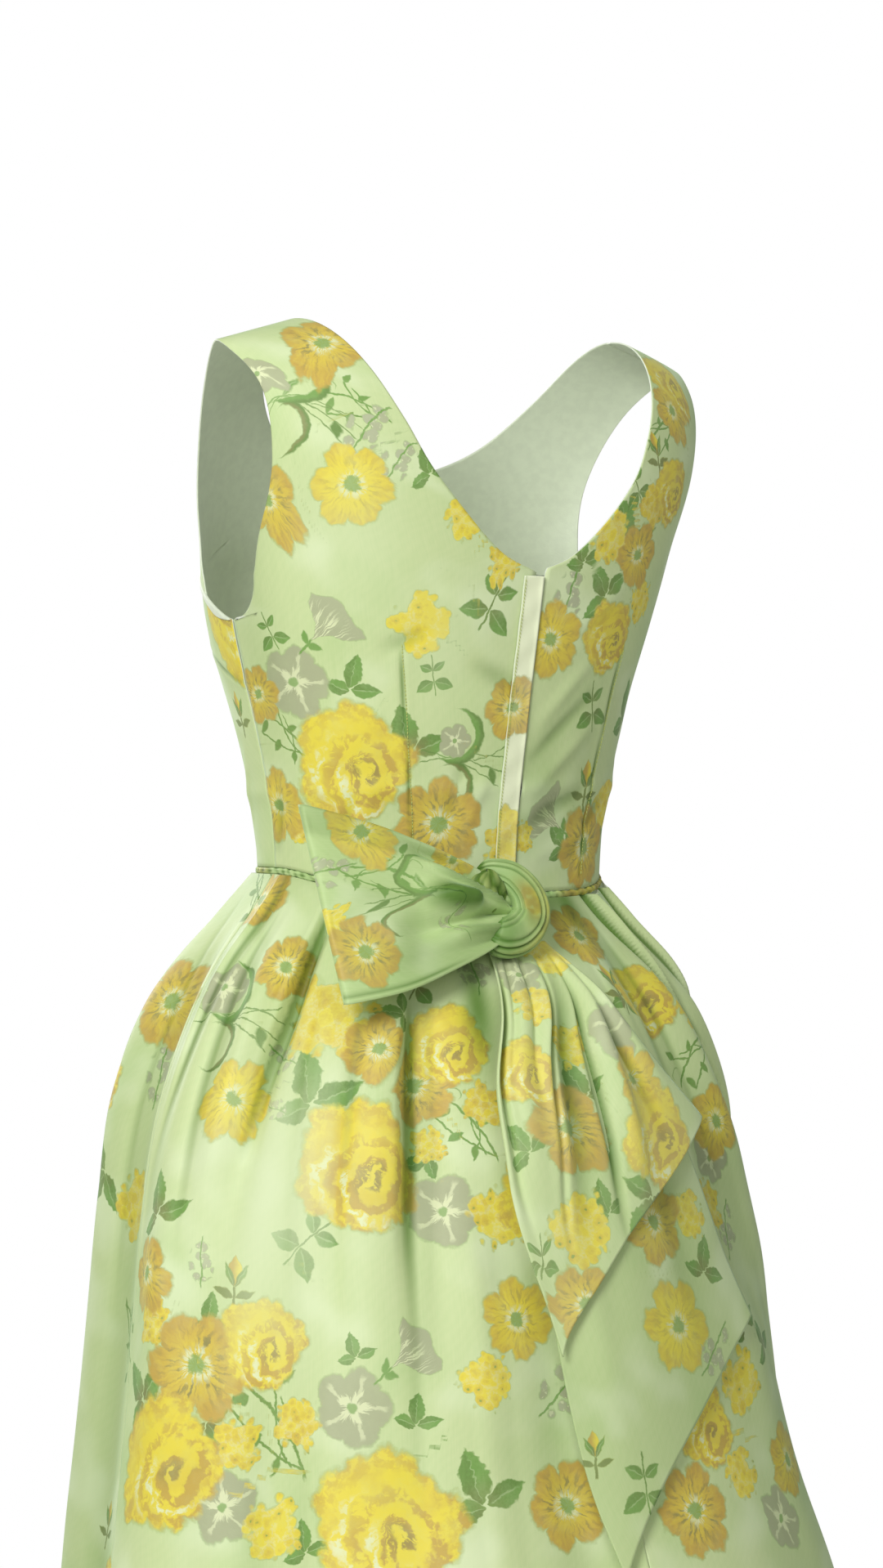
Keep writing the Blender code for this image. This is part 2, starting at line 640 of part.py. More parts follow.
def build_bow_loop():
    """The one flat loop, with both layers and the fold at its outer end."""
    turn = np.radians(np.linspace(-LOOP_SWEEP, LOOP_SWEEP, LOOP_ROWS))[:, None] * np.ones((1, LOOP_COLUMNS))
    across = np.linspace(0, 1, LOOP_COLUMNS)[None, :] * np.ones((LOOP_ROWS, 1))
    points = loop_surface(turn, across)
    along = loop_surface(turn + 1e-3, across) - loop_surface(turn - 1e-3, across)
    down = loop_surface(turn, across + 1e-3) - loop_surface(turn, across - 1e-3)
    normals = np.cross(along, down)
    normals /= np.linalg.norm(normals, axis=-1, keepdims=True)
    sheet_wall("bow_loop", points, -normals, SASH_WALL, "sash_organza")


def build_bow_knot():
    """The folded band round the bow's middle: a thick arc, open towards the loop."""
    builder = bmesh.new()
    rings = []
    for step in range(KNOT_STEPS + 1):
        turn = math.radians(-KNOT_SWEEP + 2 * KNOT_SWEEP * step / KNOT_STEPS)
        climb = KNOT_RISE * math.sin(turn)
        path = np.array([-KNOT_REACH * math.cos(turn), -KNOT_LEAN * climb, climb])
        centre = np.array(KNOT_CENTRE) + path
        away = np.array([-math.cos(turn), 0, math.sin(turn)])
        thin = KNOT_END_SHARE + (1 - KNOT_END_SHARE) * math.cos(turn)
        ring = []
        for side in range(KNOT_SIDES):
            roll = 2 * math.pi * side / KNOT_SIDES
            offset = away * KNOT_TUBE * thin * math.cos(roll)
            offset = offset + np.array([0, KNOT_DEPTH * thin * math.sin(roll), 0])
            ring.append(builder.verts.new(centre + offset))
        rings.append(ring)
    for ring, following in zip(rings, rings[1:]):
        for side in range(KNOT_SIDES):
            beside = (side + 1) % KNOT_SIDES
            builder.faces.new([ring[side], ring[beside], following[beside], following[side]])
    builder.faces.new(rings[0])
    builder.faces.new(list(reversed(rings[-1])))
    new_object("bow_knot", builder, "sash_organza")


def tail_wall(name, table, folds, columns):
    """A sash end on the skirt: its points are the skirt's own, moved out, with its own soft folds."""
    along = np.linspace(0, 1, TAIL_ROWS + 1)
    left_azimuth, left_drop, right_azimuth, right_drop, lift = smooth_rows(table, along).T
    across = np.linspace(0, 1, columns + 1)[None, :]
    azimuth = left_azimuth[:, None] * (1 - across) + right_azimuth[:, None] * across
    azimuth = azimuth - 4 * TAIL_BEND * across * (1 - across) * along[:, None]
    drop = left_drop[:, None] * (1 - across) + right_drop[:, None] * across
    points = skirt_surface(azimuth, drop)
    normals = skirt_normals(azimuth, drop)
    rise = np.zeros_like(azimuth)
    for fold in folds:
        shape = np.exp(-((across - fold.across) / fold.spread) ** 2)
        rise = rise + fold.rise * shape * np.sin(math.pi * along ** 0.85)[:, None]
    outer = points + normals * (lift[:, None, None] + SASH_WALL + rise[..., None])
    sheet_wall(name, outer, normals, SASH_WALL, "sash_organza")


def build_dress():
    """All the pieces of the dress."""
    for leftover in list(bpy.data.objects):
        bpy.data.objects.remove(leftover, do_unlink=True)
    build_bodice_front()
    build_bodice_backs()
    build_centre_back_closure()
    build_waist_piping()
    build_skirt()
    build_bow_loop()
    build_bow_knot()
    tail_wall("bow_tail_long", LONG_TAIL, LONG_TAIL_FOLDS, columns=10)
    tail_wall("bow_tail_short", SHORT_TAIL, SHORT_TAIL_FOLDS, columns=12)


build_dress()
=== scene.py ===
"""The looks of the party dress: fine cloth shells, flower print, stitching, sash bow and studio.

Metres, +Z up, the front faces -Y and the wearer's left is +X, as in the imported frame.
"""
import math
from collections import namedtuple
from functools import partialmethod, reduce, wraps

import bmesh
import bpy
import numpy as np
from bpy.props import FloatProperty, FloatVectorProperty, PointerProperty
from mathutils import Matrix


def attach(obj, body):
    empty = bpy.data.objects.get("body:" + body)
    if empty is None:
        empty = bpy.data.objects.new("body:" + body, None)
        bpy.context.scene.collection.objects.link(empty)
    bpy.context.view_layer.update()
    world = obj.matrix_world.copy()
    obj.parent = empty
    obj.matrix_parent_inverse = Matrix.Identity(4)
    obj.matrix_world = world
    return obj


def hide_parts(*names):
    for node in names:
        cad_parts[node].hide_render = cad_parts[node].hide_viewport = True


bl_info = {
    "name": "Party Dress",
    "version": (1, 0, 0),
    "blender": (4, 5, 0),
    "location": "3D View > Sidebar > Party Dress",
    "description": "Builds a sleeveless printed organza dress with a sash bow",
    "category": "Add Mesh",
}

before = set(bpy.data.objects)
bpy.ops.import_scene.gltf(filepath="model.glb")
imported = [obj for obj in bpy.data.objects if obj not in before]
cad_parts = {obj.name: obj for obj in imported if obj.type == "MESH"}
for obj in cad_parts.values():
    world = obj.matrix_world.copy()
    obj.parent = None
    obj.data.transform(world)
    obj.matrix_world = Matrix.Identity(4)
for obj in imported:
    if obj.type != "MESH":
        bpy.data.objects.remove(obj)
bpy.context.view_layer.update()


def table(columns, rows):
    """Rows with named columns.

    A column whose name ends in _mm is written in millimetres and read in metres, and values left
    out at the end of a row are 0.
    """
    names = columns.split()
    row_type = namedtuple("Row", [name.removesuffix("_mm") for name in names])
    whole = (tuple(row) + (0,) * (len(names) - len(row)) for row in rows)
    return tuple(
        row_type(*(value / 1000 if name.endswith("_mm") else value for name, value in zip(names, row)))
        for row in whole)


# Form of the dress, the same as in the solids
CLOTH_WALL = 0.0016
SASH_WALL = 0.0012
SEAM_GAP = 0.0003
SHOULDER_ROUND = 0.13
SHOULDER_TOP_BAND = -0.05
SHOULDER_DROP = 0.017
STRAP_INNER = 0.1286
STRAP_OUTER = 0.187
WAIST_HEIGHT = -0.359
WAIST_DIP_BACK = 0.016
UNDERARM_HEIGHT = -0.195
BACK_NECK_HEIGHT = -0.165
FRONT_NECK_HEIGHT = -0.098
SKIRT_LENGTH = 0.66
PIPING_RADIUS = 0.0022
SKIRT_TOP_DROP = 0.0019
BUST_HEIGHT = -0.196
BUST_REACH = 0.088
BUST_SPREAD = 0.050
BUST_RISE = 0.011
LEFT_BACK_EDGE = 0.0006
RIGHT_BACK_EDGE = 0.0066
LAP_INNER = -0.0046
LAP_OUTER = 0.0105
LAP_WALL = 0.0010
LAYER_GAP = 0.0006

# Horizontal sections of the body, and of the skirt by their drop below the waist
BODICE_SECTIONS = table("height_mm half_width_mm back_depth_mm front_depth_mm centre_mm squareness", (
    (0, 190, 118, 88, 0, 2.4), (-40, 191, 119, 90, -6, 2.4), (-90, 183, 119, 94, -14, 2.4),
    (-138, 169, 119, 104, -21, 2.35), (-168, 162.5, 118, 110, -25, 2.3),
    (-199, 155, 115, 109, -28, 2.25), (-238, 144, 109, 102, -30, 2.2), (-266, 137, 104, 95, -30, 2.2),
    (-292, 131, 99, 90, -30, 2.2), (-323, 125, 94, 85, -30, 2.2), (-359, 122.5, 91, 83, -30, 2.2),
    (-380, 122.5, 91, 83, -30, 2.2),
))
SKIRT_SECTIONS = table("drop_mm half_width_mm back_depth_mm front_depth_mm centre_mm squareness", (
    (0, 122.5, 91, 83, -30, 2.2), (25, 138, 109, 106, -30, 2.15), (55, 161, 133, 128, -31, 2.1),
    (86, 179, 152, 147, -32, 2.1), (128, 198, 169, 165, -33, 2.05), (170, 212, 184, 179, -34, 2),
    (218, 221, 192, 181, -34, 2), (300, 232, 208, 187, -30, 2), (390, 247, 219, 193, -22, 2),
    (470, 263, 239, 207, -11, 2), (560, 280, 256, 226, -5, 2), (660, 298, 275, 245, 0, 2),
))

# Cut edges of the bodice: height and distance from the centre line
BACK_NECKLINE = (
    (BACK_NECK_HEIGHT, 0.000), (-0.150, 0.033), (-0.108, 0.077),
    (-0.073, 0.098), (-0.040, 0.113), (0.000, STRAP_INNER),
)
FRONT_NECKLINE = (
    (FRONT_NECK_HEIGHT, 0.000), (-0.093, 0.042), (-0.074, 0.083), (-0.040, 0.112), (0.000, STRAP_INNER),
)
BACK_ARMHOLE = (
    (-0.168, 0.1600), (-0.138, 0.1640), (-0.090, 0.1695), (-0.038, 0.1761), (0.000, STRAP_OUTER),
)
FRONT_ARMHOLE = (
    (-0.168, 0.1560), (-0.138, 0.1560), (-0.090, 0.1600), (-0.038, 0.1720), (0.000, STRAP_OUTER),
)

# Broad folds of the skirt, and after them the finer ones that only the shells have
SKIRT_FOLDS = table("azimuth spread rise_mm top_mm tail_mm lean", (
    (10, 9, 12, 20, 660, 3), (27, 7, -9, 30, 600, 2), (43, 8, 9, 10, 450, 4), (57, 6, -7, 20, 300, 0),
    (68, 8, 9, 10, 400, -5), (82, 7, -9, 20, 600, 0), (97, 6, 8, 5, 240, 8), (103, 9, 7, 180, 660, -2),
    (109, 6, 9, 0, 160, 4), (119, 5, -11, 5, 150, -20), (129, 8, 7, 30, 500, 10),
    (141, 6, 7, 30, 240, -2), (149, 5, -9, 30, 180, 0), (152, 8, 7, 160, 660, -2),
    (165, 6, -8, 220, 660, 8), (205, 5, -7, 0, 120, 25), (213, 6, 10, 0, 240, 45),
    (223, 5, -9, 5, 160, 50), (233, 6, 9, 5, 240, 25), (200, 8, 8, 240, 660, 34),
    (244, 8, -9, 40, 600, 4), (259, 9, 11, 20, 600, -2), (275, 7, -10, 30, 600, -3),
    (291, 8, 11, 10, 500, -4), (307, 7, -9, 30, 600, 2), (323, 9, 11, 20, 600, -2),
    (341, 8, -10, 20, 660, 2),
))
FINE_FOLDS = table("azimuth spread rise_mm top_mm tail_mm lean", (
    (4, 2.4, 2.2, 2, 100, 2), (18, 2, -2, 1, 90, 4), (35, 2.2, 2.4, 0, 140, -3),
    (51, 2, -2.2, 2, 120, 5), (62, 1.8, 2, 0, 100, 0), (76, 2, -1.8, 3, 160, 3),
    (88, 2.4, 2.2, 0, 130, 5), (101, 1.8, -2, 0, 100, 8), (127, 2.4, 1.6, 20, 200, 3),
    (136, 2, -1.6, 40, 180, -4), (146, 1.8, -2.6, 50, 220, 0), (156, 2.6, 2, 180, 400, 2),
    (171, 2.4, -2, 260, 500, 9), (196, 2.2, 1.6, 0, 100, 20), (208, 1.6, -1.8, 0, 80, 30),
    (228, 2, 1.8, 0, 120, 30), (240, 2.2, -2, 2, 140, 12), (252, 2, 2.2, 0, 120, -2),
    (266, 2.4, -2, 4, 120, -3), (283, 2.2, 2.4, 0, 150, 2), (299, 2, -2.2, 2, 110, 3),
    (315, 2.2, 2, 0, 120, -2), (332, 2, -2, 3, 130, 4), (349, 2.2, 2.2, 0, 100, -3),
    (134, 3, 2.2, 250, 500, -3), (118, 3.4, -2.4, 260, 520, 2), (218, 3.2, 2.4, 220, 450, 14),
    (230, 3, -2.4, 240, 500, 6),
))

# Pleats with a folded edge: the cloth stands up at the edge and lies back over the reach in degrees
PLEATS = table("azimuth rise_mm reach top_mm tail_mm lean", (
    (119, 10, -11, 0, 75, -26), (145, 6, -8, 50, 150, -2), (215, 11, 15, -30, 110, 92),
    (231, 8.5, 14, -30, 120, 70), (96, 6, -9, -20, 80, -14), (64, 7.5, 15, -20, 100, 10),
    (296, 7.5, -15, -20, 100, -12), (260, 6, 12, -20, 90, 6), (24, 7, 14, -20, 90, 6),
    (336, 7, -14, -20, 90, -8),
))

# Soft patches of painted shade and painted highlight on the skirt and the bodice: azimuth and drop or height
# of the middle, the spread of both, and a share that is above 0 for painted shade, in tucks, under the bow
# and the piping and towards the sides, and below 0 for a painted highlight on broad smooth parts
SKIRT_PATCHES = table("azimuth place_mm spread reach_mm share", (
    (191, 6, 9, 16, 0.85), (162, 72, 3.6, 42, 1.2), (208, 45, 5, 32, 0.4), (201.5, 12, 4.5, 22, 0.8),
    (75, 420, 10, 300, 0.34), (222, 340, 13, 300, 0.42), (121, 200, 11, 90, -0.85),
    (140, 260, 9, 90, -0.12), (20, 250, 12, 110, -0.35), (325, 300, 13, 120, -0.35),
    (262, 280, 9, 110, -0.3),
))
BODICE_PATCHES = table("azimuth place_mm spread reach_mm share", (
    (196, -310, 9, 50, 0.34), (214, -300, 9, 70, 0.24), (98, -190, 8, 110, 0.22),
    (128, -150, 12, 40, -0.3), (150, -215, 9, 30, -0.25),
))

# Drag creases of the bodice, from end to end, and its darts, from the seam to the tip
BODICE_CREASES = table("azimuth height_mm azimuth_end height_end_mm width_mm rise_mm", (
    (160, -225, 178, -240, 6, -0.9), (158, -246, 176, -262, 5, 0.8), (150, -180, 165, -200, 6, 1),
    (133, -215, 145, -205, 5.5, -0.9), (120, -345, 128, -300, 6, 1.1), (112, -350, 121, -315, 4.5, -1.1),
    (100, -340, 106, -290, 5, 1.1), (92, -345, 96, -300, 4, -1), (160, -330, 168, -295, 5, 0.9),
    (152, -325, 158, -290, 5, -0.8), (190, -305, 214, -265, 5.5, 1.3), (188, -285, 212, -243, 4.5, -1.2),
    (189, -262, 208, -222, 5, 1.1), (188, -330, 222, -300, 5.5, -1.3), (195, -349, 230, -330, 5, 1.1),
    (216, -345, 236, -300, 5, -1.2), (200, -200, 214, -175, 5, 0.9), (236, -340, 244, -290, 5, 1.2),
    (252, -340, 258, -290, 4.5, -1), (264, -345, 268, -300, 4, 1), (20, -345, 34, -300, 6, 1.1),
    (48, -345, 60, -300, 5, -1), (68, -340, 80, -280, 5, 1), (6, -140, 28, -120, 6, -0.8),
    (340, -345, 326, -300, 6, 1.1), (312, -345, 300, -300, 5, -1), (292, -340, 280, -280, 5, 1),
    (354, -150, 332, -128, 6, -0.8), (352, -300, 8, -310, 6, 0.8),
))
DARTS = table("azimuth height_mm azimuth_tip height_tip_mm", (
    (139.5, -362, 137, -212), (220.5, -362, 223, -212), (38, -357, 40, -235), (322, -357, 320, -235),
    (88, -235, 58, -205), (272, -235, 302, -205),
))

# Loop of the bow: its outline out from the knot and its fullness, then the folds of its outer layer, by
# their place across it at the knot and further out, and by where they run
LOOP_SECTIONS = table("reach_mm top_mm bottom_mm fullness_mm", (
    (0, -380, -392, 3.5), (12, -368, -399, 6), (30, -355, -408, 9.5), (60, -341, -419, 12),
    (98, -327, -432, 11), (141, -315, -440, 8.5),
))
LOOP_FOLDS = table("across across_out spread rise_mm start_mm end_mm", (
    (0.24, 0.02, 0.085, 8.5, 0, 56), (0.36, 0.13, 0.034, -7, 10, 48), (0.46, 0.43, 0.1, -15, 32, 50),
    (0.5, 0.66, 0.075, 9, 0, 72), (0.8, 0.68, 0.04, -4, 2, 44), (0.92, 0.84, 0.055, 3.5, 0, 80),
    (0.34, 0.3, 0.06, 2, 40, 110), (0.55, 0.62, 0.06, 2, 50, 130), (0.1, 0.1, 0.05, 2, 60, 130),
    (0.4, 0.44, 0.04, -1.8, 50, 110),
))
LOOP_START = (0.0140, 0.0880)
LOOP_YAW = 5
LOOP_SWEEP = 89.97
LOOP_TILT = 0.42
LOOP_STRIP = 0.17

# Sash ends: azimuth and drop of both edges, and how far they stand off the skirt
SHORT_TAIL = table("left_azimuth left_drop_mm right_azimuth right_drop_mm lift_mm", (
    (168, 34, 184, 31, 1.2), (165, 80, 188, 62, 8.5), (161.5, 130, 191, 88, 12.5),
    (162, 190, 196, 114, 14), (165, 248, 201.5, 138, 14), (169.5, 304, 206.5, 158, 14),
))
LONG_TAIL = table("left_azimuth left_drop_mm right_azimuth right_drop_mm lift_mm", (
    (171, 42, 184, 40, 0.6), (169, 110, 192, 90, 6), (168.5, 200, 199, 145, 6),
    (169.5, 290, 205, 200, 6), (172, 365, 209, 248, 6), (175.5, 440, 212.5, 292, 6),
))
TAIL_BEND = 5.0

# Folds of the sash ends: place across at the knot and at the cut end, and the share along where they are
# deepest
SHORT_TAIL_FOLDS = table("across across_end spread rise_mm fullest", (
    (0.015, 0.025, 0.03, 5.8, 0.3), (0.075, 0.085, 0.022, -4.8, 0.3), (0.3, 0.16, 0.12, 5.5, 0.42),
    (0.2, 0.12, 0.03, -2.4, 0.12), (0.42, 0.26, 0.03, -2.6, 0.14), (0.6, 0.22, 0.07, 6.2, 0.42),
    (0.69, 0.17, 0.026, -7.5, 0.42), (0.79, 0.28, 0.07, -4.8, 0.5), (0.885, 0.5, 0.024, -8, 0.55),
    (0.95, 0.62, 0.055, 9, 0.55), (0.99, 0.8, 0.03, -4, 0.4), (1, 0.94, 0.04, 4.5, 0.4),
))
LONG_TAIL_FOLDS = table("across across_end spread rise_mm fullest", (
    (0.5, 0.46, 0.2, 3, 0.6), (0.22, 0.26, 0.07, 2.2, 0.45), (0.8, 0.74, 0.08, -2, 0.55),
))

# The knot's band along its middle, its half width across the band and its half depth
KNOT_SECTIONS = table("x_mm y_mm height_mm half_width_mm half_depth_mm", (
    (35, 74.5, -357.5, 4.2, 4.5), (27, 80.5, -357.2, 7.2, 6.4), (16.5, 87.5, -362, 9.8, 8),
    (8.5, 93.5, -373.5, 11.5, 8.6), (8, 97.5, -387, 12.8, 8.8), (18, 99.5, -397.5, 13.8, 9),
    (31, 99, -401, 13.2, 9), (42.5, 95, -397.5, 9.5, 7),
))
# Folds along the band: place round it in degrees from its inner edge, spread, and depth as a share
KNOT_FOLDS = ((150, 6, 0.18), (126, 5, 0.22), (100, 4, 0.17), (64, 5, 0.09), (38, 6, 0.12), (215, 9, 0.12))
KNOT_FLATNESS = 0.75
CRUMPLE_CENTRE = (0.0335, 0.0845, -0.3715)
CRUMPLE_SIZE = (0.0125, 0.0085, 0.0150)

# Rows and columns of the meshes
BODICE_ROWS = (64, 64)
FRONT_COLUMNS = 84
BACK_COLUMNS = 80
SKIRT_ROWS = 151
LAP_GRID = (161, 17)
LOOP_GRID = (181, 61)
TAIL_GRID = (131, 111)
KNOT_GRID = (110, 120)
CRUMPLE_GRID = (36, 72)
PIPING_GRID = (1080, 20)
DENSE = 400

ZIP_PITCH = 0.0017
ZIP_ROWS = (-0.0046, -0.0062)
HEM_DEPTH = 0.045
HEM_STITCH_PITCH = 2.4
BODY_MIDDLE = (0.0, -0.030)

# The print's motifs and their usual radius
MOTIF_RADIUS = {
    "rose": 0.046, "anemone": 0.029, "petunia": 0.027, "trumpet": 0.026, "cluster": 0.026, "lilac": 0.026,
    "sprig": 0.030, "leaves": 0.034, "curls": 0.042, "stems": 0.040, "bud": 0.018,
}

# Radii from a motif's middle that its paint may reach, and room between motifs as a share of their radii
MOTIF_REACH = 1.9
ROOM_BETWEEN_KINDS = 0.62
ROOM_WITHIN_KIND = 1.05

# Motifs placed one by one on each piece: where round the dress, how high, size, tone from yellow to ochre,
# and turn in degrees
PLACED_COLUMNS = "azimuth height_mm size tone turn"
PLACED = {
    "bodice_back_left_cloth": {
        "anemone": (
            (119, -19, 1.15, 0.9, 20), (128, -111, 1.1, 0.12), (109, -121, 0.95, 0.8, 30),
            (94, -244, 0.8, 0.9), (149, -327, 1.25, 0.95, 15), (94, -314, 1, 0.7),
            (176, -252, 0.85, 0.9),
        ),
        "petunia": ((110, -42, 0.6, 0.5), (108, -235, 1.05, 0.5), (154, -275, 0.48, 0.5)),
        "curls": ((116, -57, 1.05, 0.3), (154, -288, 1, 0.3)),
        "stems": ((128, -64, 0.7, 0.3, -12), (100, -270, 0.75, 0.5, -30)),
        "lilac": ((131, -76, 1, 0.5, -40), (138, -98, 0.8, 0.5, -40)),
        "leaves": ((146, -101, 0.5, 0.3), (125, -236, 0.6, 0.3, -30), (141, -272, 0.85, 0.6)),
        "cluster": (
            (155, -132, 0.7, 0.4), (168, -158, 0.6, 0.5), (143, -199, 1, 0.15), (104, -330, 0.6, 0.6),
            (178, -343, 0.8, 0.5),
        ),
        "sprig": ((166, -184, 0.9, 0.4, -25), (147, -233, 0.55, 0.3, 10), (103, -203, 0.55, 0.3, 20)),
        "trumpet": ((119, -199, 1.05, 0.5, -45),),
        "rose": ((121, -289, 1.02, 0.2),),
    },
    "zip_lap_cloth": {
        "anemone": ((176, -252, 0.85, 0.9),),
        "cluster": ((178, -343, 1.3, 0.3),),
    },
    "bodice_back_right_cloth": {
        "rose": ((240, -30, 0.66, 0.6), (229, -104, 0.6, 0.7), (214, -205, 0.66, 0.7)),
        "bud": ((222, -80, 1.1, 0.6, 10), (218, -300, 1.25, 0.5)),
        "sprig": ((214, -104, 0.7, 0.4, 30), (213, -250, 0.72, 0.4, 10)),
        "cluster": (
            (206, -137, 0.95, 0.5), (236, -316, 0.85, 0.4), (186, -336, 0.55, 0.6),
            (222, -118, 0.8, 0.9), (227, -180, 0.7, 0.3),
        ),
        "anemone": (
            (219, -150, 0.9, 0.9), (189, -209, 1.05, 0.6), (222, -345, 1.15, 0.85),
            (233, -52, 0.85, 0.8),
        ),
        "leaves": (
            (208, -168, 0.75, 0.4, 20), (208, -337, 0.55, 0.3, 20), (240, -250, 0.8, 0.4),
            (214, -134, 1, 0.5), (197, -150, 0.6, 0.4), (228, -330, 0.8, 0.7),
        ),
        "lilac": ((194, -179, 0.95, 0.5, -20),),
        "trumpet": ((200, -324, 1, 0.5, 58),),
        "stems": ((226, -70, 0.7, 0.4, 40),),
    },
    "skirt_back_left_cloth": {
        "anemone": (
            (92, -377, 0.9, 0.9), (108, -503, 1.1, 0.2), (111, -420, 0.95, 0.85),
            (135, -470, 1, 0.9, 20), (142, -494, 1.1, 0.95), (107, -667, 1.4, 1), (161, -638, 1.05, 0.4),
            (168, -752, 1.15, 0.9), (96, -612, 1, 0.9),
        ),
        "petunia": (
            (98, -432, 0.8, 0.6), (148, -568, 1, 0.5), (134, -688, 1.05, 0.5), (114, -753, 1, 0.3, 30),
        ),
        "curls": ((101, -453, 1.15, 0.4),),
        "lilac": (
            (114, -477, 0.75, 0.5, 75), (115, -507, 0.55, 0.5, 75), (106, -602, 0.65, 0.5),
            (158, -420, 0.8, 0.8), (169, -683, 1, 0.6, -50),
        ),
        "cluster": (
            (123, -447, 1.55, 0.62), (157, -503, 0.75, 0.75), (99, -640, 0.75, 0.6),
            (115, -716, 0.85, 0.6), (145, -530, 0.6, 0.5), (158, -573, 0.95, 0.45),
            (125, -698, 0.8, 0.7), (122, -765, 1, 0.35), (155, -673, 0.85, 0.3), (165, -520, 0.6, 0.5),
        ),
        "leaves": (
            (138, -444, 0.5, 0.3, 60), (124, -491, 1.05, 0.3), (143, -539, 0.5, 0.3, 90),
            (109, -636, 0.55, 0.2, -20), (110, -706, 0.6, 0.7, 200), (128, -766, 0.55, 0.3),
            (154, -737, 0.95, 0.4), (144, -694, 0.5, 0.3, -20), (134, -650, 0.42, 0.3),
            (97, -565, 0.8, 0.5), (97, -682, 0.85, 0.6, 40),
        ),
        "rose": (
            (133, -542, 1.1, 0.3), (149, -468, 0.72, 0.25), (118, -652, 0.76, 0.1),
            (103, -732, 1.1, 0.4, 20), (139, -755, 1.22, 0.15), (168, -560, 0.8, 0.4),
        ),
        "stems": ((152, -517, 0.8, 0.4, -40), (119, -704, 1.15, 0.5, -38)),
        "sprig": ((143, -428, 0.65, 0.6, -30), (125, -588, 0.95, 0.3, -50)),
        "bud": ((112, -613, 1.25, 0.5),),
        "trumpet": ((142, -656, 1, 0.5, -62),),
    },
    "skirt_back_right_cloth": {
        "anemone": (
            (204, -402, 0.98, 0.8), (224, -525, 1, 0.7), (192, -762, 1.25, 0.95), (221, -748, 1, 0.6),
        ),
        "bud": ((205, -430, 1.25, 0.9),),
        "rose": ((216, -446, 0.68, 0.5), (199, -714, 0.72, 0.4)),
        "stems": ((223, -484, 0.75, 0.4, 60),),
        "cluster": (
            (228, -455, 0.8, 0.7), (217, -580, 0.85, 0.6), (211, -690, 1.05, 0.35),
            (206, -745, 0.85, 0.4),
        ),
        "petunia": ((221, -549, 0.75, 0.6), (214, -780, 0.9, 0.5)),
        "lilac": ((222, -595, 0.85, 0.8, -20),),
        "sprig": ((207, -439, 0.7, 0.5, -20),),
        "leaves": ((215, -648, 0.8, 0.5, 10), (222, -668, 0.6, 0.5)),
    },
    "bow_loop_cloth": {
        "anemone": ((129, -333, 1.05, 0.5), (133, -407, 1, 0.95, 15), (153, -350, 0.6, 0.6)),
        "lilac": ((124, -358, 0.85, 0.5, 70), (150, -388, 0.5, 0.6)),
        "cluster": ((121, -392, 0.5, 0.1),),
        "stems": ((134, -364, 0.85, 0.2, 15),),
        "curls": ((144, -372, 0.85, 0.2, 5),),
    },
    "bow_tail_short_cloth": {
        "petunia": ((170, -424, 0.75, 0.6), (188.5, -462, 0.95, 0.4)),
        "cluster": (
            (171, -445, 0.75, 0.5), (173, -581, 1.15, 0.3), (183, -413, 0.85, 0.4),
            (178, -470, 0.8, 0.45),
        ),
        "rose": ((165, -482, 0.6, 0.3), (193.4, -527, 0.9, 0.5)),
        "anemone": ((173, -519, 1.3, 1), (191.5, -492, 0.95, 0.6), (174, -632, 1.05, 0.95)),
        "leaves": (
            (188, -570, 0.8, 0.5, 120), (180, -566, 0.6, 0.3), (163.5, -526, 0.6, 0.3, 20),
            (179, -495, 0.7, 0.4),
        ),
        "sprig": ((165, -600, 0.6, 0.4),),
    },
    "bow_tail_long_cloth": {
        "anemone": ((192, -583, 1.15, 0.8), (193, -648, 1.25, 0.15)),
        "leaves": ((205, -612, 0.65, 0.5, -40),),
        "lilac": ((202, -667, 0.95, 0.8, -50),),
        "sprig": ((181, -742, 0.85, 0.3),),
        "bud": ((173, -719, 1.05, 0.5),),
        "cluster": ((203, -580, 0.8, 0.4),),
    },
}

# One repeat of the print, for the sides that no placed motif reaches
REPEAT_SIZE = (0.300, 0.330)
REPEAT_CLEARANCE = 0.055
REPEAT = table("kind across_mm down_mm size tone turn", (
    ("rose", 30, 40, 1.05, 0.2, 10), ("petunia", -12, -30, 1, 0.5), ("trumpet", 20, -58, 1, 0.5, -45),
    ("leaves", 85, 20, 1, 0.6), ("cluster", 88, -50, 1, 0.2), ("curls", 125, 45, 1, 0.3),
    ("anemone", 85, 85, 1.2, 0.95), ("sprig", 150, -75, 1, 0.4, -20),
    ("anemone", -50, 100, 1.3, 0.9, 40), ("rose", -75, 165, 0.8, 0.1, 90), ("bud", -105, 105, 1.1, 0.5),
    ("lilac", -10, 150, 1, 0.5), ("petunia", 60, 195, 1.1, 0.4, 60), ("anemone", 125, 215, 1, 0.15, 20),
    ("cluster", 10, 235, 1.1, 0.6, 50), ("leaves", -40, 225, 0.9, 0.4, 120),
    ("sprig", -120, 235, 0.9, 0.3, 160), ("stems", -20, 195, 1, 0.4, -35),
    ("cluster", 65, 130, 0.8, 0.5), ("stems", -105, -10, 0.9, 0.5, 150),
))

# Studio: floor, lens, and the lights by their place, size and power
FLOOR_HEIGHT = -1.38
FLOOR_RADIUS = 2.2
CAMERA_HEIGHT = -0.302
CAMERA_ASIDE = 0.0088
LENS = 95.6
LIGHT_AIM = (0.0, 0.0, -0.45)
LIGHTS = {
    "key": ((2.4, 1.6, 1.0), 1.3, 66.0), "camera side": ((0.7, 2.7, 0.8), 1.6, 9.0),
    "front": ((0.2, -3.0, 0.8), 2.2, 50.0), "top": ((0.3, 0.2, 2.6), 2.2, 6.0),
}


def length_setting(name, description, value):
    """A length that a maker would change."""
    return FloatProperty(name=name, description=description, default=value, unit="LENGTH")


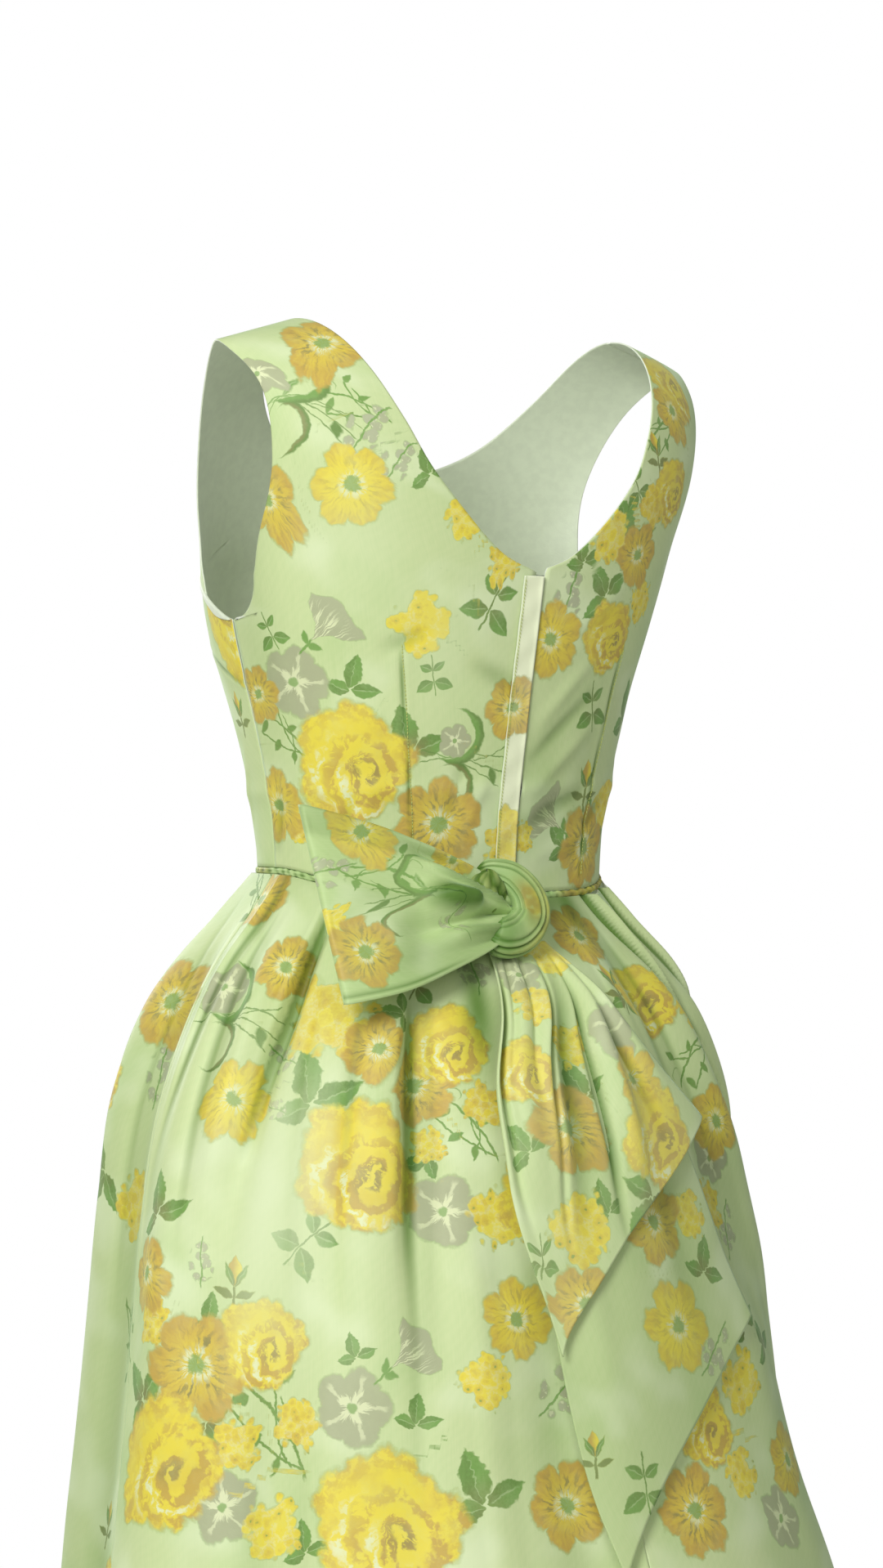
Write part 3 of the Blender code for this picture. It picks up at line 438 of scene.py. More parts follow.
def share_setting(name, description, value):
    """A share that a maker would change."""
    return FloatProperty(name=name, description=description, default=value, subtype="FACTOR")


class DressSettings(bpy.types.PropertyGroup):
    """Sizes of the finish that a maker would change."""

    shell_wall: length_setting("Shell wall", "Thickness of the cloth shells", 0.0010)
    fold_depth: share_setting("Fold depth", "Share of the fine folds and creases", 1.0)
    print_strength: share_setting("Print strength", "How fully the print covers the cloth", 0.95)
    stitch_length: length_setting("Stitch length", "Length of one stitch", 0.0022)
    # How strongly the painted shade in folds darkens the cloth's colour
    recess_depth: share_setting("Recess depth", "How much deeper the colour is inside folds", 0.80)
    camera_distance: length_setting("Camera distance", "From the camera to the dress's middle", 2.8)
    camera_azimuth: FloatProperty(
        name="Camera azimuth", description="Round the dress from its front", default=math.radians(145),
        subtype="ANGLE")


def dye(name, description, value):
    """A colour that a maker would change."""
    return FloatVectorProperty(name=name, description=description, default=value, size=3, subtype="COLOR")


class DressColours(bpy.types.PropertyGroup):
    """Colours of the print, the cloth and the trim."""

    ground: dye("Ground", "Mint ground of the organza over its lining", (0.64, 0.735, 0.385))
    ground_deep: dye("Deep ground", "Ground where the organza stands off the lining", (0.38, 0.58, 0.20))
    # Fold shade is painted shade: folds, tucks, seams and the bow's hollows are darkened towards it, with a
    # little of the greener doubled cloth in a fold
    fold_shade: dye(
        "Fold shade", "What the doubled cloth inside a fold takes from its colour", (0.20, 0.32, 0.11))
    lemon: dye("Lemon", "Rose petals", (0.84, 0.70, 0.060))
    ochre: dye("Ochre", "Petal folds and anemones", (0.58, 0.385, 0.075))
    cream: dye("Cream", "Highlights of the petals", (0.80, 0.84, 0.52))
    # Painted highlight: the pale colour painted where light falls brightly on broad smooth parts of the
    # organza
    painted_highlight: dye("Satin", "Pale patches where the organza lies close on its lining", (0.78, 0.87, 0.57))
    lap: dye("Lap", "Ground of the lap over the zip", (0.94, 0.98, 0.70))
    taupe: dye("Taupe", "Petunias and lilac", (0.43, 0.455, 0.275))
    leaf: dye("Leaf", "Leaves and stems", (0.185, 0.36, 0.078))
    leaf_dark: dye("Dark leaf", "Shaded half of the leaves", (0.12, 0.20, 0.045))
    lining: dye("Lining", "Pale inside of the dress", (0.76, 0.83, 0.64))


def settings():
    """The sizes in this scene."""
    return bpy.context.scene.party_dress


def colours():
    """The colours in this scene."""
    return bpy.context.scene.party_dress_colours


def smooth_rows(rows, fraction):
    """Catmull-Rom curve through a table's rows, read at fractions 0 to 1 of its length in rows."""
    rows = np.array(rows, dtype=float)
    padded = np.vstack([2 * rows[0] - rows[1], rows, 2 * rows[-1] - rows[-2]])
    place = np.clip(np.asarray(fraction, dtype=float), 0, 1) * (len(rows) - 1)
    index = np.minimum(place.astype(int), len(rows) - 2)
    t = (place - index)[..., None]
    before, start, end, after = (padded[index + k] for k in range(4))
    bend = (2 * start + (end - before) * t
            + (2 * before - 5 * start + 4 * end - after) * t ** 2
            + (3 * start - before - 3 * end + after) * t ** 3)
    return bend / 2


def read_table(rows, value):
    """The table's columns at the given values of its first column, on a smooth curve."""
    dense = smooth_rows(rows, np.linspace(0, 1, DENSE))
    dense = dense[np.argsort(dense[:, 0])]
    return [np.interp(value, dense[:, 0], column) for column in dense.T]


def signed_power(value, exponent):
    """The power of a value's size, with its sign kept."""
    return np.sign(value) * np.abs(value) ** exponent


def smooth_step(value):
    """An S-shaped rise from 0 to 1 as the value goes from 0 to 1."""
    t = np.clip(value, 0, 1)
    return t * t * (3 - 2 * t)


def bump(value, spread):
    """A bell of height 1 round zero: e to the minus square of the value over its spread."""
    return np.exp(-(value / spread) ** 2)


def unit(vectors):
    """Vectors divided by their lengths."""
    return vectors / np.maximum(np.linalg.norm(vectors, axis=-1, keepdims=True), 1e-12)


def azimuth_of(points):
    """The azimuth round the dress, in degrees: 0 at the front, 90 at the wearer's left."""
    return np.degrees(np.arctan2(points[..., 0], -(points[..., 1] - BODY_MIDDLE[1]))) % 360


def turned_from(azimuth, centre):
    """The turn in degrees from a centre to an azimuth, between -180 and 180."""
    return (azimuth - centre + 180) % 360 - 180


def level_of(height):
    """The bodice's level: 0 at the shoulder line, 1 where the shoulders end, and more below."""
    height = np.asarray(height, dtype=float)
    round_part = np.arccos(np.clip(1 + height / SHOULDER_ROUND, -1, 1)) * 2 / math.pi
    straight_part = 1 + (-SHOULDER_ROUND - height) / (SHOULDER_ROUND * math.pi / 2)
    return np.where(height > -SHOULDER_ROUND, round_part, straight_part)


def height_of(level):
    """The height at a level: a quarter ellipse over the shoulder, then straight down."""
    round_part = -SHOULDER_ROUND * (1 - np.cos(level * math.pi / 2))
    straight_part = -SHOULDER_ROUND - (level - 1) * SHOULDER_ROUND * math.pi / 2
    return np.where(level < 1, round_part, straight_part)


def bodice_surface(angle, level, back):
    """A point of the bodice's outer face, on the wearer's left.

    Each level is a superellipse whose angle runs from 0 at the centre line to 90 degrees at the
    side. Above level 1 its depth shrinks with a sine, and the height falls towards the arm.
    """
    height = height_of(level)
    _, half_width, back_depth, front_depth, centre, squareness = read_table(BODICE_SECTIONS, height)
    power = 2 / squareness
    x = half_width * signed_power(np.sin(angle), power)
    depth = np.where(back, back_depth, -front_depth) * np.sin(np.minimum(level, 1) * math.pi / 2)
    y = centre + depth * signed_power(np.cos(angle), power)
    slope = np.clip((np.abs(x) - STRAP_INNER) / (STRAP_OUTER - STRAP_INNER), -2.2, 1.3)
    z = height - SHOULDER_DROP * slope * smooth_step(1.1 - level)
    if not back:
        across = (np.abs(x) - BUST_REACH) / BUST_SPREAD
        along = (height - BUST_HEIGHT) / BUST_SPREAD
        y = y - BUST_RISE * np.exp(-across ** 2 - along ** 2)
    return np.stack([x, y, z], axis=-1)


def surface_normals(surface, first, second, first_step=1e-4, second_step=1e-4):
    """Unit normals of a surface of two parameters, by central differences."""
    along = surface(first + first_step, second) - surface(first - first_step, second)
    across = surface(first, second + second_step) - surface(first, second - second_step)
    return unit(np.cross(along, across))


def angle_at(reach, level):
    """The section angle at which the bodice is the given distance from the centre line."""
    _, half_width, _, _, _, squareness = read_table(BODICE_SECTIONS, height_of(level))
    ratio = np.clip(np.abs(reach) / half_width, 0, 1)
    return np.sign(reach) * np.arcsin(ratio ** (squareness / 2))


def waist_height(azimuth):
    """The waist seam's height, level at the front and sides and dipping at the centre back."""
    backness = np.clip(-np.cos(np.radians(azimuth)), 0, 1)
    return WAIST_HEIGHT - WAIST_DIP_BACK * smooth_step(backness)


def even_edge(angles, levels, back, count):
    """An edge given by dense angles and levels, read again at points evenly spaced along it."""
    points = bodice_surface(angles, levels, back)
    lengths = np.linalg.norm(np.diff(points, axis=0), axis=1)
    travelled = np.concatenate([[0], np.cumsum(lengths)])
    wanted = np.linspace(0, travelled[-1], count + 1)
    return np.interp(wanted, travelled, angles), np.interp(wanted, travelled, levels)


def across_from(first, last, share):
    """Rows of values that run from a first column to a last one by a share."""
    return first[:, None] * (1 - share) + last[:, None] * share


def bodice_grid(neckline, armhole, neck_height, centre_edge, rows, columns, back):
    """Angles and levels of half a bodice, from its centre edge and neckline to its side and armhole."""
    lower_rows, upper_rows = rows
    fractions = np.linspace(0, 1, DENSE)
    waist = waist_height(180 if back else 0) + PIPING_RADIUS + SEAM_GAP
    lower_level = level_of(waist + (neck_height - waist) * fractions)
    lower_inner = angle_at(np.full(DENSE, centre_edge), lower_level), lower_level
    neck = smooth_rows(neckline, fractions)
    neck_level = level_of(np.minimum(neck[:, 0], 0))
    neck_angle = angle_at(np.maximum(neck[:, 1], centre_edge), neck_level)
    side_waist = WAIST_HEIGHT + PIPING_RADIUS + SEAM_GAP
    side_level = level_of(side_waist + (UNDERARM_HEIGHT - side_waist) * fractions)
    side_angle = np.full(DENSE, math.pi / 2)
    arm = smooth_rows(armhole, fractions)
    arm_level = level_of(np.minimum(arm[:, 0], 0))
    arm_angle = angle_at(arm[:, 1], arm_level)
    corner = np.linspace(0, 1, DENSE // 4)
    corner_angle = math.pi / 2 + (arm_angle[0] - math.pi / 2) * np.sin(corner * math.pi / 2)
    corner_start = side_level[-1]
    corner_level = corner_start + (arm_level[0] - corner_start) * (1 - np.cos(corner * math.pi / 2))
    arm_angle = np.concatenate([corner_angle, arm_angle[1:]])
    arm_level = np.concatenate([corner_level, arm_level[1:]])
    share = np.linspace(0, 1, columns + 1)[None, :]
    parts = [
        [across_from(first, last, share)
         for first, last in zip(even_edge(*inner, back, count), even_edge(*outer, back, count))]
        for inner, outer, count in (
            (lower_inner, (side_angle, side_level), lower_rows),
            ((neck_angle, neck_level), (arm_angle, arm_level), upper_rows))]
    angle, level = (np.vstack([lower, upper[1:]]) for lower, upper in zip(*parts))
    azimuth = 180 - np.degrees(angle[0]) if back else np.degrees(angle[0])
    wanted = level_of(waist_height(azimuth) + PIPING_RADIUS + SEAM_GAP)
    fade = np.clip(1 - np.arange(len(level)) / lower_rows, 0, 1)[:, None]
    return angle, level + (wanted - level[0])[None, :] * fade


def outward(points, normals):
    """Normals turned so that they point away from the body's middle, and up over the shoulders."""
    aim = points - np.array([BODY_MIDDLE[0], BODY_MIDDLE[1], 0.0])
    aim[..., 2] = np.where(points[..., 2] > SHOULDER_TOP_BAND, SHOULDER_ROUND, 0)
    facing = np.sum(aim * normals, axis=-1, keepdims=True)
    return np.where(facing < 0, -normals, normals)


def fold_rise(folds, azimuth, drop):
    """How far folds stand out: bells across, which widen and grow down from the waist and then fade."""
    rise = np.zeros(np.broadcast(azimuth, drop).shape)
    for fold in folds:
        centre = fold.azimuth + fold.lean * drop / SKIRT_LENGTH
        away = turned_from(azimuth, centre)
        spread = fold.spread * (0.7 + 0.3 * smooth_step(drop / 0.35))
        grows = smooth_step((drop - fold.top) / 0.08)
        fades = 1 - smooth_step((drop - fold.tail) / 0.20)
        rise = rise + fold.rise * bump(away, spread) * grows * fades
    return rise


def pleat_rise(azimuth, drop):
    """How far the folded pleats stand out: a steep edge, then a slope that dies away over the reach."""
    rise = np.zeros(np.broadcast(azimuth, drop).shape)
    for pleat in PLEATS:
        centre = pleat.azimuth + pleat.lean * drop / SKIRT_LENGTH
        away = turned_from(azimuth, centre) * np.sign(pleat.reach)
        slope = smooth_step((away + 1.0) / 1.9) * np.exp(-np.maximum(away, 0) / abs(pleat.reach) * 2.2)
        tuck = 0.45 * bump(away + 2.4, 1.7)
        grows = smooth_step((drop - pleat.top) / 0.05)
        fades = 1 - smooth_step((drop - pleat.tail) / 0.12)
        rise = rise + pleat.rise * (slope - tuck) * grows * fades
    return rise


def skirt_rise(azimuth, drop, fine):
    """How far the skirt stands out: its broad folds, and a share of its finer folds and pleats."""
    rise = fold_rise(SKIRT_FOLDS, azimuth, drop)
    if fine:
        rise = rise + fine * (fold_rise(FINE_FOLDS, azimuth, drop) + pleat_rise(azimuth, drop))
    return rise


def skirt_surface(azimuth, drop, fine=0.0):
    """A point of the skirt's outer face: superellipse sections that flare from the waist, with folds."""
    _, half_width, back_depth, front_depth, centre, squareness = read_table(SKIRT_SECTIONS, drop)
    turn = np.radians(azimuth)
    power = 2 / squareness
    sine = signed_power(np.sin(turn), power)
    cosine = signed_power(np.cos(turn), power)
    rise = skirt_rise(azimuth, drop, fine)
    x = (half_width + rise) * sine
    y = centre - (np.where(cosine > 0, front_depth, back_depth) + rise) * cosine
    dip = (waist_height(azimuth) - WAIST_HEIGHT) * (1 - smooth_step(drop / 0.30))
    z = WAIST_HEIGHT - drop + dip
    return np.stack([x, y, z * np.ones_like(x)], axis=-1)


def skirt_recess(azimuth, drop, fine):
    """Painted shade by how deep each point lies in a fold: the rise a little to either side, less its own.

    The difference close by finds the sharp creases, and the one further out the broad valleys.
    """
    here, before, after, far_before, far_after = (
        skirt_rise(azimuth + turn, drop, fine) for turn in (0, -1.5, 1.5, -5, 5))
    crease = (before + after) / 2 - here
    valley = (far_before + far_after) / 2 - here
    # Painted shade just below the waist seam under the piping, and the skirt's patches of painted shade and
    # painted highlight
    shade = 0.35 * np.exp(-drop / 0.010) + patch_shade(SKIRT_PATCHES, azimuth, drop)
    return np.maximum(np.clip(crease / 0.0024, 0, 1.1), np.clip(valley / 0.016, 0, 0.26)) + shade


def patch_shade(patches, azimuth, place):
    """The sum of soft patches, painted shade where a share is above 0 and painted highlight where it is below
    0: a bell round the dress times a bell down it, for each.
    """
    shade = np.zeros_like(azimuth)
    for patch in patches:
        away = bump(turned_from(azimuth, patch.azimuth), patch.spread)
        shade = shade + patch.share * away * bump(place - patch.place, patch.reach)
    return shade


def skirt_normals(azimuth, drop, fine=0.0):
    """Outward unit normals of the skirt, by central differences."""
    return -surface_normals(lambda turn, down: skirt_surface(turn, down, fine), azimuth, drop, 0.05, 5e-4)


def segment_place(azimuth, height, line, radius=0.115):
    """For each point, its distance from a line drawn on the bodice and its share along that line."""
    start = np.array([math.radians(line[0]) * radius, line[1]])
    end = np.array([math.radians(line[2]) * radius, line[3]])
    middle = (line[0] + line[2]) / 2
    near = turned_from(azimuth, middle) + middle
    offset = np.stack([np.radians(near) * radius, height], axis=-1) - start
    run = end - start
    share = offset @ run / (run @ run)
    foot = np.clip(share, 0, 1)[..., None] * run
    return np.linalg.norm(offset - foot, axis=-1), share


def crease_rise(azimuth, height):
    """Drag creases and darts of the bodice: bells across short lines, fading at the lines' ends."""
    rise = np.zeros_like(azimuth)
    for crease in BODICE_CREASES:
        away, share = segment_place(azimuth, height, crease[:4])
        rise = rise + 1.6 * crease.rise * bump(away, crease.width) * bump(share - 0.5, 0.52)
    for dart in DARTS:
        away, share = segment_place(azimuth, height, dart)
        taper = smooth_step((1.04 - share) * 6)
        rise = rise - 0.0014 * bump(away, 0.0012) * taper + 0.0008 * bump(away, 0.0055) * taper
    return rise


def dart_shade(azimuth, height):
    """Painted shade along each dart's seam groove: a narrow bell across it."""
    shade = np.zeros_like(azimuth)
    for dart in DARTS:
        away, share = segment_place(azimuth, height, dart)
        shade = np.maximum(shade, bump(away, 0.0010) * smooth_step((1.04 - share) * 6))
    return shade


def flat_coordinates(points):
    """The cloth laid flat, in metres: along each row from its middle, and along each column."""
    across = np.cumsum(np.linalg.norm(np.diff(points, axis=1, prepend=points[:, :1]), axis=-1), axis=1)
    across = across - across[:, across.shape[1] // 2][:, None]
    down = np.cumsum(np.linalg.norm(np.diff(points, axis=0, prepend=points[:1]), axis=-1), axis=0)
    return np.stack([across, down], axis=-1)


Motif = namedtuple("Motif", "kind tone turn radius row column clearance")


def nearest(distance):
    """The row and column of the smallest value."""
    return np.unravel_index(np.argmin(distance), distance.shape)


def local_place(points, normals, flat, row, column, reach=4):
    """The flat cloth seen from one of its points, in metres to the right and upwards.

    The flat steps round the point are matched to its steps in space by a two by two matrix, so
    that a motif is neither sheared nor stretched at its middle and follows the cloth's folds.
    """
    rows, columns = points.shape[:2]
    above, below = max(row - reach, 0), min(row + reach, rows - 1)
    before, after = max(column - reach, 0), min(column + reach, columns - 1)
    normal = unit(normals[above:below + 1, before:after + 1].mean(axis=(0, 1)))
    up = np.array([0.0, 0.0, 1.0])
    up = unit(up - normal * (up @ normal))
    right = np.cross(up, normal)
    moves, steps = (
        np.stack([grid[row, after] - grid[row, before], grid[below, column] - grid[above, column]])
        for grid in (points, flat))
    matrix = np.linalg.inv(steps) @ moves @ np.stack([right, up], axis=1)
    return (flat - flat[row, column]) @ matrix


def has_room(here, kind, radius, points, chosen):
    """Whether a new motif stands clear of the chosen ones, and further from those of its own kind."""
    return all(
        np.linalg.norm(points[other.row, other.column] - here)
        > (ROOM_WITHIN_KIND if kind == other.kind else ROOM_BETWEEN_KINDS) * (radius + other.radius)
        + other.clearance
        for other in chosen)


def spread_motifs(name, points, flat, showing):
    """The motifs of one piece: those placed on it one by one, then the repeat wherever there is room."""
    azimuth = azimuth_of(points)
    chosen = []
    for kind, rows in PLACED.get(name, {}).items():
        for place in table(PLACED_COLUMNS, rows):
            away = turned_from(azimuth, place.azimuth) * 0.003
            distance = np.where(showing, np.hypot(away, points[..., 2] - place.height), 9)
            radius = MOTIF_RADIUS[kind] * place.size
            chosen.append(Motif(kind, place.tone, place.turn, radius, *nearest(distance), REPEAT_CLEARANCE))
    first = np.floor(flat.min(axis=(0, 1)) / REPEAT_SIZE).astype(int) - 1
    last = np.ceil(flat.max(axis=(0, 1)) / REPEAT_SIZE).astype(int) + 1
    for down in range(first[1], last[1] + 1):
        for across in range(first[0], last[0] + 1):
            shift = 0.5 * (down % 2)
            for place in REPEAT:
                target = np.array([(across + shift) * REPEAT_SIZE[0] + place.across,
                                   down * REPEAT_SIZE[1] + place.down])
                distance = np.linalg.norm(flat - target, axis=-1)
                row, column = nearest(distance)
                radius = MOTIF_RADIUS[place.kind] * place.size
                if distance[row, column] <= 0.6 * radius and has_room(
                        points[row, column], place.kind, radius, points, chosen):
                    chosen.append(Motif(place.kind, place.tone, place.turn, radius, row, column, 0.0))
    return chosen


def add_print(mesh, name, points, normals, flat, showing):
    """Gives a mesh, for each motif, every point's place in the nearest one, and how near it is.

    The place is in the motif's own radius, turned with it, with the motif's tone as a third
    number. The nearness is 1 within the motif and falls to 0 outside it, and halfway to the
    next motif of its kind.
    """
    best, second = ({kind: np.full(points.shape[:2], 99.0) for kind in MOTIF_RADIUS} for _ in range(2))
    places = {kind: np.zeros(points.shape) for kind in MOTIF_RADIUS}
    for motif in spread_motifs(name, points, flat, showing):
        kind = motif.kind
        x, y = np.moveaxis(local_place(points, normals, flat, motif.row, motif.column) / motif.radius, -1, 0)
        angle = math.radians(motif.turn)
        across = x * math.cos(angle) + y * math.sin(angle)
        along = y * math.cos(angle) - x * math.sin(angle)
        distance = np.hypot(across, along)
        seen = (distance < best[kind]) & (distance < MOTIF_REACH)
        second[kind] = np.minimum(second[kind], np.maximum(distance, best[kind]))
        best[kind] = np.where(seen, distance, best[kind])
        stacked = np.stack([across, along, np.full_like(across, motif.tone)], axis=-1)
        places[kind] = np.where(seen[..., None], stacked, places[kind])
    for kind in MOTIF_RADIUS:
        add_attribute(mesh, "place_" + kind, places[kind], "FLOAT_VECTOR", "vector")
        apart = np.clip((second[kind] - best[kind] - 0.10) / 0.12, 0, 1)
        near = np.clip((1.55 - best[kind]) / 0.3, 0, 1) * apart
        add_attribute(mesh, "near_" + kind, near)


def add_attribute(mesh, name, values, kind="FLOAT", field="value"):
    """Writes an array of numbers or vectors to the mesh's points."""
    attribute = mesh.attributes.new(name, kind, "POINT")
    attribute.data.foreach_set(field, np.ascontiguousarray(values, dtype=np.float32).ravel())


def grid_faces(rows, columns):
    """Quads of a grid of points, row after row, as corner numbers."""
    numbers = np.arange(rows * columns).reshape(rows, columns)
    corners = (numbers[:-1, :-1], numbers[:-1, 1:], numbers[1:, 1:], numbers[1:, :-1])
    return np.stack([corner.ravel() for corner in corners], axis=1)


def mesh_of(name, points, faces, flat=None):
    """A smooth mesh of one array of faces, or of several with different numbers of corners."""
    groups = faces if isinstance(faces, (list, tuple)) else [faces]
    corners = np.concatenate([group.ravel() for group in groups]).astype(np.int32)
    sizes = np.concatenate([np.full(len(group), group.shape[1]) for group in groups])
    mesh = bpy.data.meshes.new(name)
    mesh.vertices.add(len(points))
    mesh.vertices.foreach_set("co", np.ascontiguousarray(points, dtype=np.float32).ravel())
    mesh.loops.add(len(corners))
    mesh.loops.foreach_set("vertex_index", corners)
    mesh.polygons.add(len(sizes))
    mesh.polygons.foreach_set("loop_start", (np.cumsum(sizes) - sizes).astype(np.int32))
    mesh.polygons.foreach_set("use_smooth", np.ones(len(sizes), dtype=bool))
    if flat is not None:
        layer = mesh.uv_layers.new(name="Cloth")
        layer.data.foreach_set("uv", np.ascontiguousarray(flat[corners], dtype=np.float32).ravel())
    mesh.update(calc_edges=True)
    return mesh


def placed_object(name, data):
    """A new object in the scene, at the origin."""
    made = bpy.data.objects.new(name, data)
    bpy.context.scene.collection.objects.link(made)
    return made


def place_piece(name, mesh, materials, nodes=()):
    """Links a finished mesh at the origin, with its materials, and ties it to the frame."""
    for material in materials:
        mesh.materials.append(material)
    piece = placed_object(name, mesh)
    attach(piece, "root")
    if nodes:
        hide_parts(*nodes)
    return piece


def change_shape(mesh, change):
    """Opens a mesh for editing, makes one change to it and writes it back."""
    shape = bmesh.new()
    shape.from_mesh(mesh)
    change(shape)
    shape.to_mesh(mesh)
    shape.free()


def drop_loose_points(shape):
    """Takes away the points that no face uses."""
    loose = [point for point in shape.verts if not point.link_faces]
    bmesh.ops.delete(shape, geom=loose, context="VERTS")


def face_outwards(shape):
    """Turns the faces of closed forms outwards."""
    bmesh.ops.recalc_face_normals(shape, faces=shape.faces)


def closed_piece(name, points, faces, material, slot, nodes=(), flat=None, **attributes):
    """One piece of closed forms that face outwards, with named numbers on its points."""
    mesh = mesh_of(name, points, faces, flat)
    for attribute, values in attributes.items():
        add_attribute(mesh, attribute, values)
    change_shape(mesh, face_outwards)
    return place_piece(name, mesh, [material], nodes)


def cloth_shell(node, points, normals, materials, recess, showing=True, wall=None, faces=None):
    """One sheet of printed cloth over a grid of points, facing along the given normals, for one node.

    The painted shading is 0 on open cloth, and 1 and more deep in a fold, where it stands for the shade there
    and for the deeper green of the doubled organza. Below 0 it is a painted highlight on broad smooth parts.
    A live wall behind the sheet has the second material.
    """
    if faces is None:
        faces = grid_faces(*points.shape[:2])
    first, second, third = (points.reshape(-1, 3)[faces[:, corner]] for corner in range(3))
    facing = np.cross(second - first, third - second) * normals.reshape(-1, 3)[faces[:, 0]]
    if facing.sum() < 0:
        faces = faces[:, ::-1]
    flat = flat_coordinates(points)
    name = node + "_cloth"
    mesh = mesh_of(name, points.reshape(-1, 3), faces, flat.reshape(-1, 2))
    add_print(mesh, name, points, normals, flat, showing)
    # Painted shade in folds, and painted highlight where below 0, carried to the material
    add_attribute(mesh, "recess", np.clip(recess, -1, 1.25))
    change_shape(mesh, drop_loose_points)
    piece = place_piece(name, mesh, materials, [node])
    solid = piece.modifiers.new("Wall", "SOLIDIFY")
    solid.thickness = wall or settings().shell_wall
    solid.offset = -1
    solid.material_offset = 1
    solid.material_offset_rim = 1
    return piece


class Ink:
    """A number, vector or colour in a material, whose arithmetic adds the nodes that work it out."""

    def __init__(self, socket):
        self.socket = socket
        self.tree = socket.id_data

    def node(self, operation, *values):
        """The result of one kind of arithmetic on this number and the given ones."""
        made = node_of(self.tree, "Math", dict(enumerate((self, *values))), operation=operation)
        return Ink(made.outputs[0])

    __add__ = __radd__ = partialmethod(node, "ADD")
    __sub__ = partialmethod(node, "SUBTRACT")
    __rsub__ = partialmethod(node, "MULTIPLY_ADD", -1.0)
    __mul__ = __rmul__ = partialmethod(node, "MULTIPLY")
    __truediv__ = partialmethod(node, "DIVIDE")
    __pow__ = partialmethod(node, "POWER")
    sine = partialmethod(node, "SINE")
    cosine = partialmethod(node, "COSINE")
    size = partialmethod(node, "ABSOLUTE")
    root = partialmethod(node, "SQRT")
    most = partialmethod(node, "MAXIMUM")
    least = partialmethod(node, "MINIMUM")
    angle_from = partialmethod(node, "ARCTAN2")

    def kept(self):
        """The number, kept from 0 to 1."""
        return self.most(0.0).least(1.0)

    def between(self, low, high):
        """An S-shaped rise from 0 at the low value to 1 at the high one."""
        values = {"Value": self, "From Min": min(low, high), "From Max": max(low, high),
                  "To Min": float(low >= high), "To Max": float(low < high)}
        return Ink(node_of(self.tree, "MapRange", values, interpolation_type="SMOOTHSTEP").outputs[0])


def node_of(tree, kind, values=None, **choices):
    """A new node with its choices made, and its inputs connected to inks or set to plain values."""
    made = tree.nodes.new("ShaderNode" + kind)
    for name, choice in choices.items():
        setattr(made, name, choice)
    set_inputs(made, values or {})
    return made


def set_inputs(made, values):
    """Connects or sets a node's inputs, by their names or numbers."""
    for name, value in values.items():
        socket = made.inputs[name]
        if isinstance(value, Ink):
            value.tree.links.new(value.socket, socket)
        elif socket.type == "RGBA" and len(value) == 3:
            socket.default_value = (*value, 1.0)
        else:
            socket.default_value = value


def mixed(first, second, share, blend="MIX"):
    """The first colour turned into the second by a share from 0 to 1."""
    tree = next(value.tree for value in (first, second, share) if isinstance(value, Ink))
    made = node_of(tree, "Mix", {}, data_type="RGBA", blend_type=blend)
    set_inputs(made, {0: share, 6: first, 7: second})
    return Ink(made.outputs[2])


def split(vector):
    """The three numbers of a vector."""
    return [Ink(out) for out in node_of(vector.tree, "SeparateXYZ", {0: vector}).outputs]


def joined(x, y, z=0.0):
    """A vector of three numbers."""
    return Ink(node_of(x.tree, "CombineXYZ", {0: x, 1: y, 2: z}).outputs[0])


def noise(vector, scale, detail=2.0, roughness=0.5, output="Fac"):
    """Soft noise from 0 to 1, as a number, or as a colour of three numbers."""
    values = {"Vector": vector, "Scale": scale, "Detail": detail, "Roughness": roughness}
    return Ink(node_of(vector.tree, "TexNoise", values).outputs[output])


def attribute_of(tree, name, output="Fac"):
    """What the mesh's points hold under a name."""
    return Ink(node_of(tree, "Attribute", attribute_name=name).outputs[output])


def flat_cloth(tree):
    """The place on the cloth laid flat."""
    return Ink(node_of(tree, "UVMap", uv_map="Cloth").outputs[0])


def leaf_cover(x, y, start, angle, length, width, edge=0.05):
    """A pointed leaf from its start: its width is a sine of the share along its length."""
    turn = math.radians(angle)
    across_from_start = x - start[0]
    along_from_start = y - start[1]
    along = (across_from_start * math.cos(turn) + along_from_start * math.sin(turn)) * (1 / length)
    across = along_from_start * math.cos(turn) - across_from_start * math.sin(turn)
    half = (along.kept() ** 0.8 * math.pi).sine() * width
    inside = (half - across.size()).between(0.0, edge)
    return inside, along, across


def curl_cover(x, y, centre, radius, width, side):
    """A curled leaf: part of a ring, widest on the given side of its centre and pointed at its ends."""
    dx = x - centre[0]
    dy = y - centre[1]
    out = (dx * dx + dy * dy).root()
    facing = (dx * side[0] + dy * side[1]) / out.most(0.02)
    half = facing.between(-0.55, 0.75) * width
    inside = (half - (out - radius).size()).between(-0.004, 0.03)
    return inside * facing.between(-0.50, -0.35), out - radius


def stem_cover(x, y, start, end, bend, width):
    """A thin stem from start to end, bowed by a share of its length."""
    run = (end[0] - start[0], end[1] - start[1])
    length = math.hypot(*run)
    dx = (x - start[0]) * (run[0] / length) + (y - start[1]) * (run[1] / length)
    dy = (y - start[1]) * (run[0] / length) - (x - start[0]) * (run[1] / length)
    share = dx * (1 / length)
    bowed = dy - share * (1.0 - share) * (4 * bend * length)
    ends = share.between(-0.02, 0.03) * share.between(1.02, 0.97)
    return bowed.size().between(width, width * 0.45) * ends


